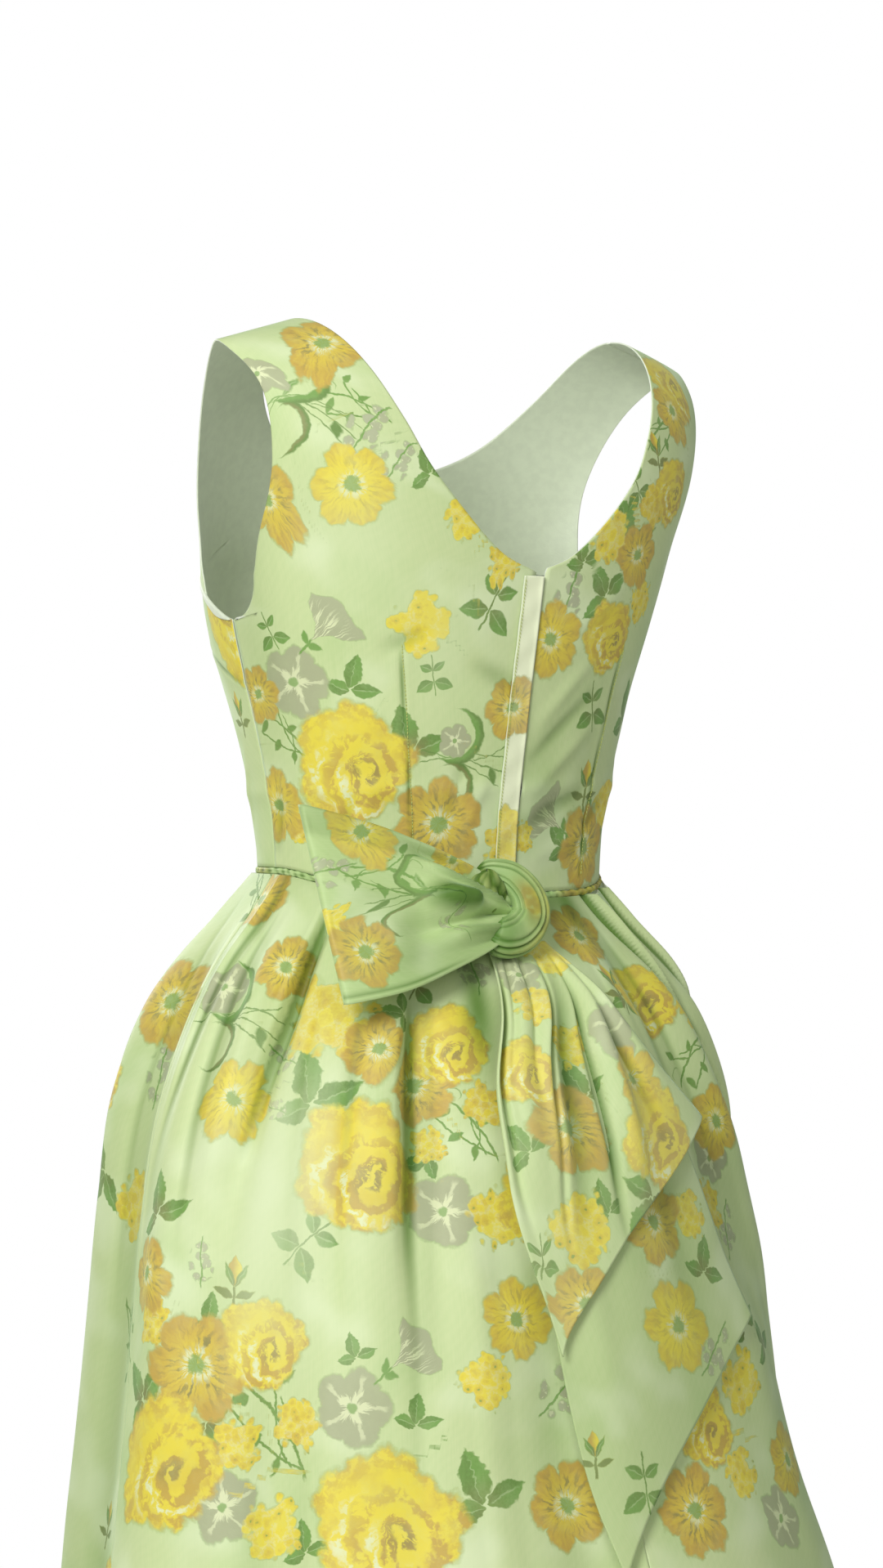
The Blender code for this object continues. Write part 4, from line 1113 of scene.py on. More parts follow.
class Brush:
    """What every motif is painted with: its place, warped as by a brush, its polar form and noise."""

    def __init__(self, place, warp, grain, warp_share):
        x, y, self.tone = split(place)
        warp_x, warp_y, _ = split(warp)
        self.x = x + (warp_x - 0.5) * warp_share
        self.y = y + (warp_y - 0.5) * warp_share
        self.radius = (self.x * self.x + self.y * self.y).root()
        self.angle = self.y.angle_from(self.x)
        self.grain = grain

    def streaks(self, scale, along=0.35):
        """Brush strokes that run outwards from the motif's middle."""
        around = joined(self.angle.cosine(), self.angle.sine(), self.radius * along + self.tone * 7)
        return noise(around, scale)

    def clouds(self, scale):
        """Three soft noises over the motif, as numbers round zero."""
        place = joined(self.x, self.y, self.tone * 9)
        return [part - 0.5 for part in split(noise(place, scale, output="Color"))]


def paint_rose(brush):
    """A full rose: ragged lobes, and petals as broken rings round a core that sits below the middle."""
    tone = colours()
    cloud_x, cloud_y, cloud = brush.clouds(2.3)
    lobes = (brush.angle * 5 + brush.tone * 6).sine() * 0.050
    lobes = lobes + (brush.angle * 3 + brush.tone * 9).sine() * 0.040
    lobes = lobes + (brush.angle * 8 + 1.0).sine().size() * 0.07
    cover = (lobes + cloud * 0.14 + 0.84 - brush.radius).between(0.0, 0.12)
    x = brush.x - 0.20 + cloud_x * 0.45
    y = (brush.y + 0.16 + cloud_y * 0.45) * 1.10
    out = (x * x + y * y).root()
    turn = y.angle_from(x)
    paint = brush.streaks(6.0, 1.6)
    wave = (out * 19.0 - turn + (turn * 2 + brush.tone * 6).sine() * 1.3).sine()
    inner = out.between(1.00, 0.28)
    low = (brush.x * 0.5 - brush.y * 0.8).between(-0.7, 0.6) * 0.30 + 0.70
    broken = (paint + cloud * 0.9).between(0.30, 0.52)
    strokes = wave.between(-0.25, 0.55) * broken * (inner * 0.90 + 0.10) * low
    edge = brush.radius.between(0.50, 0.85) * (paint + brush.grain * 0.3).between(0.52, 0.75) * 0.55
    veil = (cloud + 0.5).between(0.45, 0.70) * 0.25
    amount = (strokes + edge + veil + brush.tone * 0.15).least(0.95)
    colour = mixed(tone.lemon, tone.ochre, amount)
    light = wave.between(-0.35, -0.80) * out.between(0.85, 0.62) * out.between(0.24, 0.38)
    side = (brush.x * -0.75 - brush.y * 0.65 + cloud_x * 0.8).between(-0.05, 0.30)
    colour = mixed(colour, tone.cream, light * side * paint.between(0.38, 0.56) * 0.95)
    core = out.between(0.34, 0.06) * (paint + cloud * 0.6).between(0.28, 0.50) * wave.between(-0.7, 0.3)
    return mixed(colour, (0.30, 0.235, 0.07), core * 0.72), cover


def paint_anemone(brush):
    """An open flower of six notched petals, streaked out from a green eye in a pale ring."""
    tone = colours()
    _, _, cloud = brush.clouds(2.0)
    petal = ((brush.angle * 3 + brush.tone * 3).cosine().size() + 0.02) ** 0.45
    ripple = (brush.angle * 17).sine() * 0.018 + cloud * 0.10
    cover = (petal * 0.28 + 0.65 + ripple - brush.radius).between(0.0, 0.12)
    paint = brush.streaks(7.0, 0.5)
    share = brush.radius.between(0.15, 0.95) * 0.50 + brush.tone * 0.75 - 0.15 + (paint - 0.5) * 1.1
    colour = mixed(tone.lemon, tone.ochre, share.kept())
    shade = paint.between(0.48, 0.70) * brush.radius.between(0.85, 0.35) * brush.radius.between(0.12, 0.25)
    shade = shade * (brush.tone * 0.7 + 0.15)
    colour = mixed(colour, (0.25, 0.235, 0.085), shade)
    ring = brush.radius.between(0.34, 0.20) * paint.between(0.42, 0.55)
    colour = mixed(colour, tone.cream, ring * 0.85)
    eye = ((brush.grain - 0.5) * 0.12 + brush.radius).between(0.19, 0.12)
    return mixed(colour, tone.leaf, eye * 0.80), cover


def paint_petunia(brush):
    """A round taupe flower of five lobes, with a pale star, fine veins and a green eye."""
    tone = colours()
    _, _, cloud = brush.clouds(2.0)
    petal = ((brush.angle * 2.5).cosine().size() + 0.02) ** 0.6
    cover = (petal * 0.20 + 0.74 + cloud * 0.20 - brush.radius).between(0.0, 0.12)
    paint = brush.streaks(8.0, 0.3)
    star = petal ** 2.5 * 0.22 + 0.16 + (paint - 0.5) * 0.55
    pale = (star - brush.radius).between(-0.05, 0.08)
    vein = (brush.angle * 2.5).cosine().size().between(0.965, 0.997) * brush.radius.between(0.80, 0.65)
    colour = mixed(tone.taupe, (0.34, 0.36, 0.21), (cloud + brush.tone - 0.5).between(0.0, 0.4) * 0.6)
    colour = mixed(colour, tone.cream, pale.most(vein * 0.7) * 0.85)
    eye = ((brush.x + 0.03) * (brush.x + 0.03) + brush.y * brush.y).root().between(0.14, 0.09)
    return mixed(colour, tone.leaf, eye * 0.8), cover


def paint_trumpet(brush):
    """A taupe flower from the side: a fan that opens from a thin tube, with a green calyx."""
    tone = colours()
    y = brush.y + 0.85
    out = (brush.x * brush.x + y * y).root()
    turn = brush.x.angle_from(y)
    rim = (turn * 9 + 1.0).cosine() * 0.05 + 1.50
    opening = out.between(0.30, 1.25) * 0.58 + 0.07
    cover = (rim - out).between(0.0, 0.06) * (opening - turn.size()).between(0.0, 0.05)
    streak = noise(joined(turn * 7, out * 0.5, brush.tone * 5), 3.2, 1.0)
    pale = streak.between(0.50, 0.60) * out.between(1.40, 0.95)
    colour = mixed(tone.taupe, tone.cream, pale * 0.85)
    calyx, _, _ = leaf_cover(brush.x.size(), brush.y, (0.0, -0.72), 35, 0.42, 0.12)
    stalk = brush.x.size().between(0.05, 0.02) * brush.y.between(-0.45, -0.55)
    green = calyx.most(out.between(0.40, 0.30)).most(stalk)
    return mixed(colour, tone.leaf, green), cover.most(calyx).most(stalk * brush.radius.between(1.05, 0.95))


def scattered_florets(brush, scale):
    """A net of cells: how far each point is from its cell's middle, and a chance number of the cell."""
    values = {"Vector": joined(brush.x, brush.y, brush.tone * 7), "Scale": scale}
    cells = node_of(brush.x.tree, "TexVoronoi", values).outputs
    return Ink(cells["Distance"]), split(Ink(cells["Color"]))[0]


def paint_cluster(brush):
    """A head of small yellow and ochre florets in a loose outline, with pale gaps and green eyes."""
    tone = colours()
    _, _, cloud = brush.clouds(1.8)
    away, chance = scattered_florets(brush, 3.6)
    lobes = (brush.angle * 4 + brush.tone * 8).sine() * 0.08 + cloud * 0.45
    cover = (lobes + 0.84 - brush.radius + (0.40 - away) * 0.45).between(0.0, 0.13)
    shade = away.between(0.45, 0.10) * 0.35 + chance * 0.45 + brush.tone * 0.7 - 0.40
    shade = shade + (brush.grain - 0.5) * 0.6
    colour = mixed(tone.lemon, tone.ochre, shade.kept())
    gap = away.between(0.46, 0.62) * brush.grain.between(0.35, 0.6)
    colour = mixed(colour, tone.cream, gap * 0.35)
    eye = away.between(0.17, 0.09) * chance.between(0.40, 0.45)
    return mixed(colour, tone.leaf, eye * 0.75), cover


def paint_lilac(brush):
    """A loose spray of taupe florets with ground between them, along a thin green stalk."""
    tone = colours()
    _, _, cloud = brush.clouds(1.6)
    away, chance = scattered_florets(brush, 2.9)
    spread = 0.86 - (brush.x * brush.x * 2.2 + brush.y * brush.y).root() + cloud * 0.4
    cover = away.between(0.56, 0.40) * spread.between(0.0, 0.14)
    colour = mixed(tone.taupe, (0.50, 0.53, 0.36), chance * 0.7 + (brush.grain - 0.5) * 0.6)
    streak = noise(joined(brush.x * 3.0, brush.y * 3.0, brush.tone), 3.0, 1.0)
    colour = mixed(colour, tone.cream, streak.between(0.56, 0.66) * away.between(0.10, 0.30) * 0.6)
    stalk = (brush.x + (brush.y * 3.0).sine() * 0.05).size().between(0.040, 0.018)
    stalk = stalk * brush.y.size().between(1.0, 0.9)
    return mixed(colour, tone.leaf, stalk), cover.most(stalk * 0.9)


def paint_leaf_colour(brush, along, across):
    """Green over the leaf, darker past its middle vein, brown near its foot, with a pale vein."""
    tone = colours()
    shaded = across.between(-0.02, 0.05) * 0.40 + (brush.grain - 0.5) * 0.8
    colour = mixed(tone.leaf, tone.leaf_dark, shaded.kept())
    foot = along.between(0.55, 0.10) * brush.tone.between(0.2, 0.6)
    colour = mixed(colour, (0.27, 0.19, 0.09), foot * 0.55)
    vein = across.size().between(0.022, 0.008) * along.between(0.85, 0.6) * along.between(0.05, 0.15)
    return mixed(colour, (0.42, 0.56, 0.26), vein * 0.6)


def paint_sprig(brush):
    """Two pairs of pointed leaves on one stem: one leaf of each pair is the other's mirror image."""
    mirror = brush.x.size()
    low, along, across = leaf_cover(mirror, brush.y, (0.03, -0.25), -25, 0.84, 0.27)
    high, along_high, across_high = leaf_cover(mirror, brush.y, (0.02, 0.15), 34, 0.62, 0.19)
    stem = mirror.between(0.035, 0.015) * brush.y.size().between(0.85, 0.78)
    leaf_colour = paint_leaf_colour(brush, along, across)
    high_colour = paint_leaf_colour(brush, along_high, across_high)
    return mixed(leaf_colour, high_colour, high), low.most(high).most(stem)


def paint_leaves(brush):
    """Three broad leaves with toothed edges, fanned from one foot."""
    teeth = (brush.radius * 42).sine() * 0.018
    x = brush.x + teeth
    first, along, across = leaf_cover(x, brush.y, (-0.10, -0.35), 105, 1.20, 0.33)
    second, along_b, across_b = leaf_cover(x, brush.y, (-0.02, -0.34), 25, 1.00, 0.27)
    third, along_c, across_c = leaf_cover(x, brush.y, (-0.08, -0.38), 195, 0.85, 0.27)
    colour = paint_leaf_colour(brush, along_c, across_c)
    colour = mixed(colour, paint_leaf_colour(brush, along_b, across_b), second)
    colour = mixed(colour, paint_leaf_colour(brush, along, across), first)
    return colour, first.most(second).most(third)


def paint_curls(brush):
    """Two long curled leaves from one bundle of thin stems, which cross and run out to the right."""
    tone = colours()
    x, y = brush.x, brush.y
    upper, upper_across = curl_cover(x, y, (-0.02, 0.40), 0.42, 0.085, (0.85, -0.35))
    lower, lower_across = curl_cover(x, y, (-0.05, -0.40), 0.34, 0.065, (0.95, 0.10))
    inner, along, across = leaf_cover(x, y, (-0.12, 0.02), 58, 0.52, 0.075)
    stems = reduce(Ink.most, (stem_cover(x, y, *stem) for stem in (
        ((-0.55, 0.14), (0.95, -0.22), 0.02, 0.016), ((-0.60, -0.05), (0.98, 0.03), 0.06, 0.014),
        ((-0.10, 0.02), (0.80, -0.42), 0.04, 0.013), ((0.30, 0.00), (0.88, 0.22), -0.05, 0.012))))
    leaf, _, _ = leaf_cover(x, y, (0.62, -0.10), -70, 0.34, 0.10)
    colour = mixed(tone.leaf, tone.leaf_dark, upper_across.between(-0.02, 0.04) * 0.6)
    colour = mixed(colour, (0.30, 0.25, 0.10), lower_across.between(0.03, -0.03) * lower * 0.6)
    colour = mixed(colour, paint_leaf_colour(brush, along, across), inner)
    cover = upper.most(lower).most(inner).most(stems * 0.85).most(leaf)
    return colour, cover


def paint_stems(brush):
    """A bunch of thin stems that cross, small leaves along them and a tendril."""
    tone = colours()
    x, y = brush.x, brush.y
    covers = [stem_cover(x, y, *stem) for stem in (
        ((-0.80, 0.20), (0.95, -0.05), 0.10, 0.034), ((-0.60, -0.15), (0.90, 0.02), -0.06, 0.028),
        ((-0.30, 0.62), (0.70, -0.10), -0.10, 0.026), ((-0.10, 0.50), (0.55, -0.38), 0.12, 0.022))]
    covers += [leaf_cover(x, y, *leaf, 0.04)[0] for leaf in (
        ((-0.45, 0.18), 250, 0.40, 0.11), ((-0.28, 0.58), 70, 0.36, 0.10), ((0.10, 0.26), 40, 0.34, 0.09),
        ((0.05, -0.06), -110, 0.36, 0.11), ((0.42, -0.10), -60, 0.30, 0.09))]
    covers.append(curl_cover(x, y, (-0.55, 0.42), 0.14, 0.022, (0.2, 1.0))[0])
    brown = (brush.tone + brush.grain - 0.5).between(0.2, 0.8)
    colour = mixed(tone.leaf, (0.22, 0.20, 0.07), brown * 0.40)
    return colour, reduce(Ink.most, covers)


def paint_bud(brush):
    """A small ochre bud in green sepals, on a short stem."""
    tone = colours()
    petal, _, across = leaf_cover(brush.x, brush.y, (0.0, -0.20), 95, 0.90, 0.25)
    left, along, side = leaf_cover(brush.x.size(), brush.y, (0.0, -0.25), 62, 0.85, 0.13)
    low, _, _ = leaf_cover(brush.x.size(), brush.y, (0.02, -0.50), 15, 0.70, 0.15)
    stem = brush.x.size().between(0.06, 0.03) * brush.y.between(-0.15, -0.25) * brush.y.between(-1.0, -0.9)
    colour = mixed(tone.lemon, tone.ochre, across.between(-0.15, 0.08))
    green = left.most(low).most(stem)
    return mixed(colour, paint_leaf_colour(brush, along, side), green), petal.most(green)


def flower_print():
    """The print as a node group: its colour and how far it covers the cloth."""
    found = bpy.data.node_groups.get("Flower print")
    if found:
        return found
    tree = bpy.data.node_groups.new("Flower print", "ShaderNodeTree")
    tree.interface.new_socket("Colour", in_out="OUTPUT", socket_type="NodeSocketColor")
    tree.interface.new_socket("Cover", in_out="OUTPUT", socket_type="NodeSocketFloat")
    flat = flat_cloth(tree)
    warp = noise(flat, 110.0, 3.0, 0.6, "Color")
    grain = noise(flat, 520.0, 2.0, 0.6)
    wash = noise(flat, 62.0, 2.0, 0.6)
    colour, cover = None, None
    for kind, share, paint in (
        ("stems", 0.14, paint_stems), ("leaves", 0.20, paint_leaves), ("sprig", 0.16, paint_sprig),
        ("curls", 0.12, paint_curls), ("lilac", 0.22, paint_lilac), ("petunia", 0.24, paint_petunia),
        ("trumpet", 0.18, paint_trumpet), ("cluster", 0.24, paint_cluster),
        ("anemone", 0.24, paint_anemone), ("bud", 0.20, paint_bud), ("rose", 0.20, paint_rose),
    ):
        brush = Brush(attribute_of(tree, "place_" + kind, "Vector"), warp, grain, share)
        motif_colour, motif_cover = paint(brush)
        motif_cover = motif_cover * attribute_of(tree, "near_" + kind)
        if cover is None:
            colour, cover = motif_colour, motif_cover
        else:
            colour = mixed(colour, motif_colour, motif_cover)
            cover = cover.most(motif_cover)
    worn = (grain * 0.16 + wash * 0.44 + 0.68).least(1.0)
    set_inputs(tree.nodes.new("NodeGroupOutput"), {"Colour": colour, "Cover": cover * worn})
    return tree


def made_once(make):
    """Lets a function make a material once: later calls by its name find the first."""
    @wraps(make)
    def find_or_make(name, *values):
        return bpy.data.materials.get(name) or make(name, *values)

    return find_or_make


def new_material(name):
    """A fresh material, its nodes and its Principled shader."""
    material = bpy.data.materials.new(name)
    material.use_nodes = True
    return material, material.node_tree, material.node_tree.nodes["Principled BSDF"]


def raise_weave(shader, height, strength, distance):
    """Gives a shader a height as its bump."""
    made = node_of(height.tree, "Bump", {"Strength": strength, "Distance": distance, "Height": height})
    set_inputs(shader, {"Normal": Ink(made.outputs["Normal"])})


def finish_cloth(shader, colour, sheen):
    """Paints shade into a cloth's colour in its folds and highlights onto its smooth parts, and gives it the
    gloss and threads of organza.

    The fine crossed threads are the product of two sine waves along the flat cloth.
    """
    tone = colours()
    recess = attribute_of(colour.tree, "recess")
    # Painted highlight where the shading is below 0, then painted shade towards the fold shade where it is
    # above 0
    colour = mixed(colour, tone.painted_highlight, (recess * -1.0).most(0.0) * 0.75)
    colour = mixed(colour, tone.fold_shade, recess * settings().recess_depth, "MULTIPLY")
    set_inputs(shader, {
        "Base Color": colour, "Roughness": 0.50, "Specular IOR Level": 0.30,
        "Sheen Weight": sheen, "Sheen Roughness": 0.30, "Sheen Tint": (0.62, 0.86, 0.62),
    })
    across, down, _ = split(flat_cloth(colour.tree))
    raise_weave(shader, (across * 9000.0).sine() * (down * 9000.0).sine(), 0.12, 0.0002)


@made_once
def printed_cloth(name, sheen, deep_share, print_share, paler=0.0):
    """Organza with the flower print: mint ground, deeper in soft clouds, over fine crossed threads."""
    tone = colours()
    material, tree, shader = new_material(name)
    flat = flat_cloth(tree)
    values = {"Vector": flat, "Scale": 75.0, "Distortion": 7.0, "Detail": 2.0, "Detail Scale": 0.5}
    moire = node_of(tree, "TexWave", values, wave_type="BANDS", bands_direction="DIAGONAL")
    bands = (Ink(moire.outputs["Fac"]) - 0.5) * 0.05
    across, down, _ = split(flat)
    silk = noise(joined(across * 900.0, down * 45.0), 1.0)
    deep = noise(flat, 9.0, 3.0).between(0.45, 0.75) * 0.34 + (silk - 0.5) * 0.30 + deep_share + bands
    ground = mixed(tone.ground, tone.ground_deep, deep.kept())
    # Painted highlight: soft random pale patches like light caught on the silk
    ground = mixed(ground, tone.painted_highlight, noise(flat, 13.0).between(0.48, 0.68) * 0.60)
    ground = mixed(ground, tone.lap, paler)
    flowers = node_of(tree, "Group", node_tree=flower_print())
    cover = Ink(flowers.outputs["Cover"]) * (settings().print_strength * print_share)
    finish_cloth(shader, mixed(ground, Ink(flowers.outputs["Colour"]), cover), sheen)
    return material


@made_once
def plain_cloth(name, colour, roughness, thread_scale):
    """Unprinted cloth or thread of one dye, a little uneven, with its weave."""
    material, tree, shader = new_material(name)
    place = Ink(node_of(tree, "TexCoord").outputs["Object"])
    darker = tuple(0.94 * part for part in colour)
    uneven = noise(place, 160.0, 3.0).between(0.3, 0.7)
    set_inputs(shader, {
        "Base Color": mixed(darker, colour, uneven), "Roughness": roughness, "Sheen Weight": 0.3})
    raise_weave(shader, noise(place, thread_scale, 1.0), 0.2, 0.0003)
    return material


@made_once
def mottled_cloth(name, deep_share):
    """Organza seen in narrow folds: deep ground, with the print's yellows where it is stained."""
    tone = colours()
    material, tree, shader = new_material(name)
    place = Ink(node_of(tree, "TexCoord").outputs["Object"])
    cloud = noise(place, 60.0)
    stain = attribute_of(tree, "stain") * (noise(place, 240.0).between(0.25, 0.50) * 0.35 + 0.65)
    colour = mixed(tone.ground, tone.ground_deep, cloud.between(0.3, 0.65) * 0.40 + deep_share)
    petals = mixed((0.60, 0.52, 0.045), (0.40, 0.30, 0.05), cloud.between(0.40, 0.58))
    finish_cloth(shader, mixed(colour, petals, stain), 0.30)
    return material


def lining():
    """The pale lining inside the panels."""
    return plain_cloth("Pale lining", colours().lining, 0.45, 900.0)


def dress_cloth():
    """The printed outside and the lined inside of the dress's panels."""
    return [printed_cloth("Printed organza", 0.35, 0.10, 1.0), lining()]


def sash_cloth():
    """The doubled organza of the sash's ends, the same on both sides."""
    return [printed_cloth("Sash organza", 0.40, 0.20, 0.92)] * 2


def loop_cloth():
    """The sash in the loop, where two doubled layers lie on each other and look greener."""
    return [printed_cloth("Loop organza", 0.45, 0.48, 0.90)] * 2


def thread():
    """Yellow-green sewing thread."""
    return plain_cloth("Sewing thread", (0.50, 0.56, 0.14), 0.45, 2500.0)


def bodice_skin(angle, level, back):
    """Points of the bodice on the wearer's left, and its outward unit normals."""
    points = bodice_surface(angle, level, back)
    normals = surface_normals(lambda turn, down: bodice_surface(turn, down, back), angle, level)
    return points, outward(points, normals)


def bodice_panel(neckline, armhole, neck_height, centre_edge, columns, back, side):
    """Points, normals and painted shading of a bodice panel on one side, with its creases and darts."""
    angle, level = bodice_grid(neckline, armhole, neck_height, centre_edge, BODICE_ROWS, columns, back)
    points, normals = (grid * np.array([side, 1, 1]) for grid in bodice_skin(angle, level, back))
    azimuth, height = azimuth_of(points), points[..., 2]
    rise = crease_rise(azimuth, height) * settings().fold_depth
    # Painted shade in the creases and along the darts' seams, and the bodice's patches of painted shade and
    # highlight
    recess = np.maximum(np.clip(-rise / 0.0030, 0, 0.45), dart_shade(azimuth, height))
    recess = recess + patch_shade(BODICE_PATCHES, azimuth, height)
    return points + normals * rise[..., None], normals, recess


def back_panel(side):
    """Points, normals and painted shading of the bodice's left back, where side is 1, or its right, at -1."""
    edge = LEFT_BACK_EDGE if side == 1 else RIGHT_BACK_EDGE
    return bodice_panel(BACK_NECKLINE, BACK_ARMHOLE, BACK_NECK_HEIGHT, edge, BACK_COLUMNS, True, side)


def front_panel():
    """Points, normals and painted shading of the whole bodice front, and its faces, open above the neck
    point.

    The two halves share their centre column up to the neckline, so the left half's points
    there stand for the right half's as well.
    """
    right_half, left_half = (
        bodice_panel(FRONT_NECKLINE, FRONT_ARMHOLE, FRONT_NECK_HEIGHT, 0.0, FRONT_COLUMNS, False, side)
        for side in (-1, 1))
    points, normals, recess = (
        np.concatenate([right[:, ::-1], left], axis=1) for right, left in zip(right_half, left_half))
    rows, columns = points.shape[:2]
    half = columns // 2
    faces = grid_faces(rows, columns)
    faces = faces[faces[:, 0] % columns != half - 1]
    row, column = faces // columns, faces % columns
    shared = (column == half - 1) & (row <= BODICE_ROWS[0])
    return points, normals, recess, np.where(shared, faces + 1, faces)


class DRESS_OT_bodice_front(bpy.types.Operator):
    """Make the bodice front, in one piece with its darts"""

    bl_idname = "dress.bodice_front"
    bl_label = "Bodice Front"

    def execute(self, context):
        points, normals, recess, faces = front_panel()
        front = cloth_shell(
            "bodice_front", points, normals, dress_cloth(), recess, faces=faces)
        return {"FINISHED"}


class DRESS_OT_bodice_backs(bpy.types.Operator):
    """Make the two bodice backs, each from the centre opening to the side"""

    bl_idname = "dress.bodice_backs"
    bl_label = "Bodice Backs"

    def execute(self, context):
        for node, side in (("bodice_back_left", 1), ("bodice_back_right", -1)):
            points, normals, recess = back_panel(side)
            back = cloth_shell(node, points, normals, dress_cloth(), recess)
        return {"FINISHED"}


class DRESS_OT_skirt(bpy.types.Operator):
    """Make the three flared gores of the skirt"""

    bl_idname = "dress.skirt"
    bl_label = "Skirt"

    def execute(self, context):
        fine = settings().fold_depth
        drops = SKIRT_TOP_DROP + (SKIRT_LENGTH - SKIRT_TOP_DROP) * np.linspace(0, 1, SKIRT_ROWS) ** 1.5
        for node, start, end, columns, flat, area in (
            ("skirt_front", -90, 90, 260, (0.95, 0.70), 0.44),
            ("skirt_back_left", 90, 180, 240, (0.55, 0.70), 0.23),
            ("skirt_back_right", 180, 270, 300, (0.55, 0.70), 0.23),
        ):
            drop, azimuth = np.meshgrid(drops, np.linspace(start, end, columns + 1), indexing="ij")
            gore = cloth_shell(
                node, skirt_surface(azimuth, drop, fine), skirt_normals(azimuth, drop, fine),
                dress_cloth(), skirt_recess(azimuth, drop, fine))
        return {"FINISHED"}


def loop_reach(turn):
    """How far out from the knot the loop's cloth is, as it turns from the outer layer to the inner."""
    return LOOP_SECTIONS[-1].reach * np.abs(np.cos(turn)) ** 0.8


def loop_surface(turn, across):
    """A point of the bow's loop: the sash goes out from the knot, folds and comes back."""
    reach = loop_reach(turn)
    _, top, bottom, fullness = read_table(LOOP_SECTIONS, reach)
    height = top + (bottom - top) * across
    aside = -fullness * signed_power(np.sin(turn), 0.6)
    yaw = math.radians(LOOP_YAW)
    lean = ((top + bottom) / 2 - height) * LOOP_TILT
    x = LOOP_START[0] + reach * math.cos(yaw) + aside * math.sin(yaw)
    y = LOOP_START[1] - reach * math.sin(yaw) + aside * math.cos(yaw) + lean
    return np.stack([x, y, height], axis=-1)


def loop_rise(turn, across):
    """Folds of the loop's outer layer, fanned from the knot: bells across, between two reaches."""
    reach = loop_reach(turn)
    out = smooth_step(reach / 0.08)
    rise = np.zeros_like(reach)
    for fold in LOOP_FOLDS:
        centre = fold.across + (fold.across_out - fold.across) * out
        width = fold.spread * (0.9 + 0.6 * out)
        grows = smooth_step((reach - fold.start) / 0.016 + 0.4)
        fades = 1 - smooth_step((reach - fold.end) / 0.030)
        rise = rise + fold.rise * bump(across - centre, width) * grows * fades
    edges = smooth_step(across / 0.05) * smooth_step((1 - across) / 0.05)
    return rise * smooth_step(-np.sin(turn) * 4) * edges


class DRESS_OT_bow_loop(bpy.types.Operator):
    """Make the one flat loop of the bow, with both layers and the fold at its outer end"""

    bl_idname = "dress.bow_loop"
    bl_label = "Bow Loop"

    def execute(self, context):
        rows, columns = LOOP_GRID
        turns = np.radians(np.linspace(-LOOP_SWEEP, LOOP_SWEEP, rows))
        turn, across = np.meshgrid(turns, np.linspace(0, 1, columns), indexing="ij")
        normals = -surface_normals(loop_surface, turn, across, 1e-3, 1e-3)
        rise = loop_rise(turn, across) * settings().fold_depth
        points = loop_surface(turn, across) + normals * rise[..., None]
        reach = loop_reach(turn)
        # Painted shading of the loop: along its folded top band a deeper colour, partly its doubled cloth and
        # partly painted shade; a painted shadow in the slit between its layers; painted shade over its lower
        # part near the knot and in the valleys of its folds
        strip = 0.32 * smooth_step((LOOP_STRIP - across) / 0.05)
        slit_shadow = 0.9 * bump(across - 0.962, 0.010) * smooth_step((reach - 0.04) / 0.04) * (turn < 0)
        low = 0.38 * smooth_step((across - 0.58) / 0.26) * (1 - smooth_step((reach - 0.075) / 0.05))
        recess = np.maximum(-rise / 0.0080, np.maximum(strip, slit_shadow)) + low
        loop = cloth_shell(
            "bow_loop", points, normals, loop_cloth(), recess, showing=turn < 0)
        return {"FINISHED"}


def knot_band(rows, sides):
    """Rings of the knot's band: flattened ovals along a smooth line, grooved by folds along it."""
    share = np.linspace(0, 1, rows)
    x, y, height, half_width, half_depth = smooth_rows(KNOT_SECTIONS, share).T
    middle = np.stack([x, y, height], axis=-1)
    ahead = unit(np.gradient(middle, axis=0))
    outwards = np.array([0.30, 1.0, 0.0]) / math.hypot(0.30, 1.0)
    aside = unit(np.cross(outwards, ahead))
    facing = unit(np.cross(ahead, aside))
    degrees = np.linspace(0, 360, sides, endpoint=False)[None, :]
    scale = np.ones((rows, sides))
    for place, spread, depth in KNOT_FOLDS:
        wander = 9 * np.sin(share[:, None] * 5 + place)
        scale = scale - depth * bump(turned_from(degrees - wander, place), spread)
    ends = np.minimum(share, 1 - share)[:, None]
    scale = scale * np.sqrt(np.clip(ends / 0.09, 0.004, 1))
    turn = np.radians(degrees)
    wide = half_width[:, None] * scale * signed_power(np.cos(turn), KNOT_FLATNESS)
    deep = half_depth[:, None] * scale * signed_power(np.sin(turn), KNOT_FLATNESS)
    rings = middle[:, None] - aside[:, None] * wide[..., None] + facing[:, None] * deep[..., None]
    return rings, scale


def crumple(rows, sides):
    """Rings of the crumpled cloth inside the knot: an upright ball pleated by uneven sharp waves."""
    rise = np.linspace(-math.pi / 2, math.pi / 2, rows)[:, None]
    turn = np.linspace(0, 2 * math.pi, sides, endpoint=False)[None, :]
    wave = np.abs(np.sin(turn * 3 + 1.6 * np.sin(rise * 2) + 0.4)) * 0.22
    wave = wave + np.abs(np.sin(turn * 5 - rise * 2.2)) * 0.12
    scale = 0.82 + wave
    x = CRUMPLE_CENTRE[0] + CRUMPLE_SIZE[0] * scale * np.cos(rise) * np.cos(turn)
    y = CRUMPLE_CENTRE[1] + CRUMPLE_SIZE[1] * scale * np.cos(rise) * np.sin(turn)
    z = CRUMPLE_CENTRE[2] + CRUMPLE_SIZE[2] * np.sin(rise) * (0.94 + 0.06 * np.cos(turn * 3))
    return np.stack([x, y, z * np.ones_like(x)], axis=-1), scale


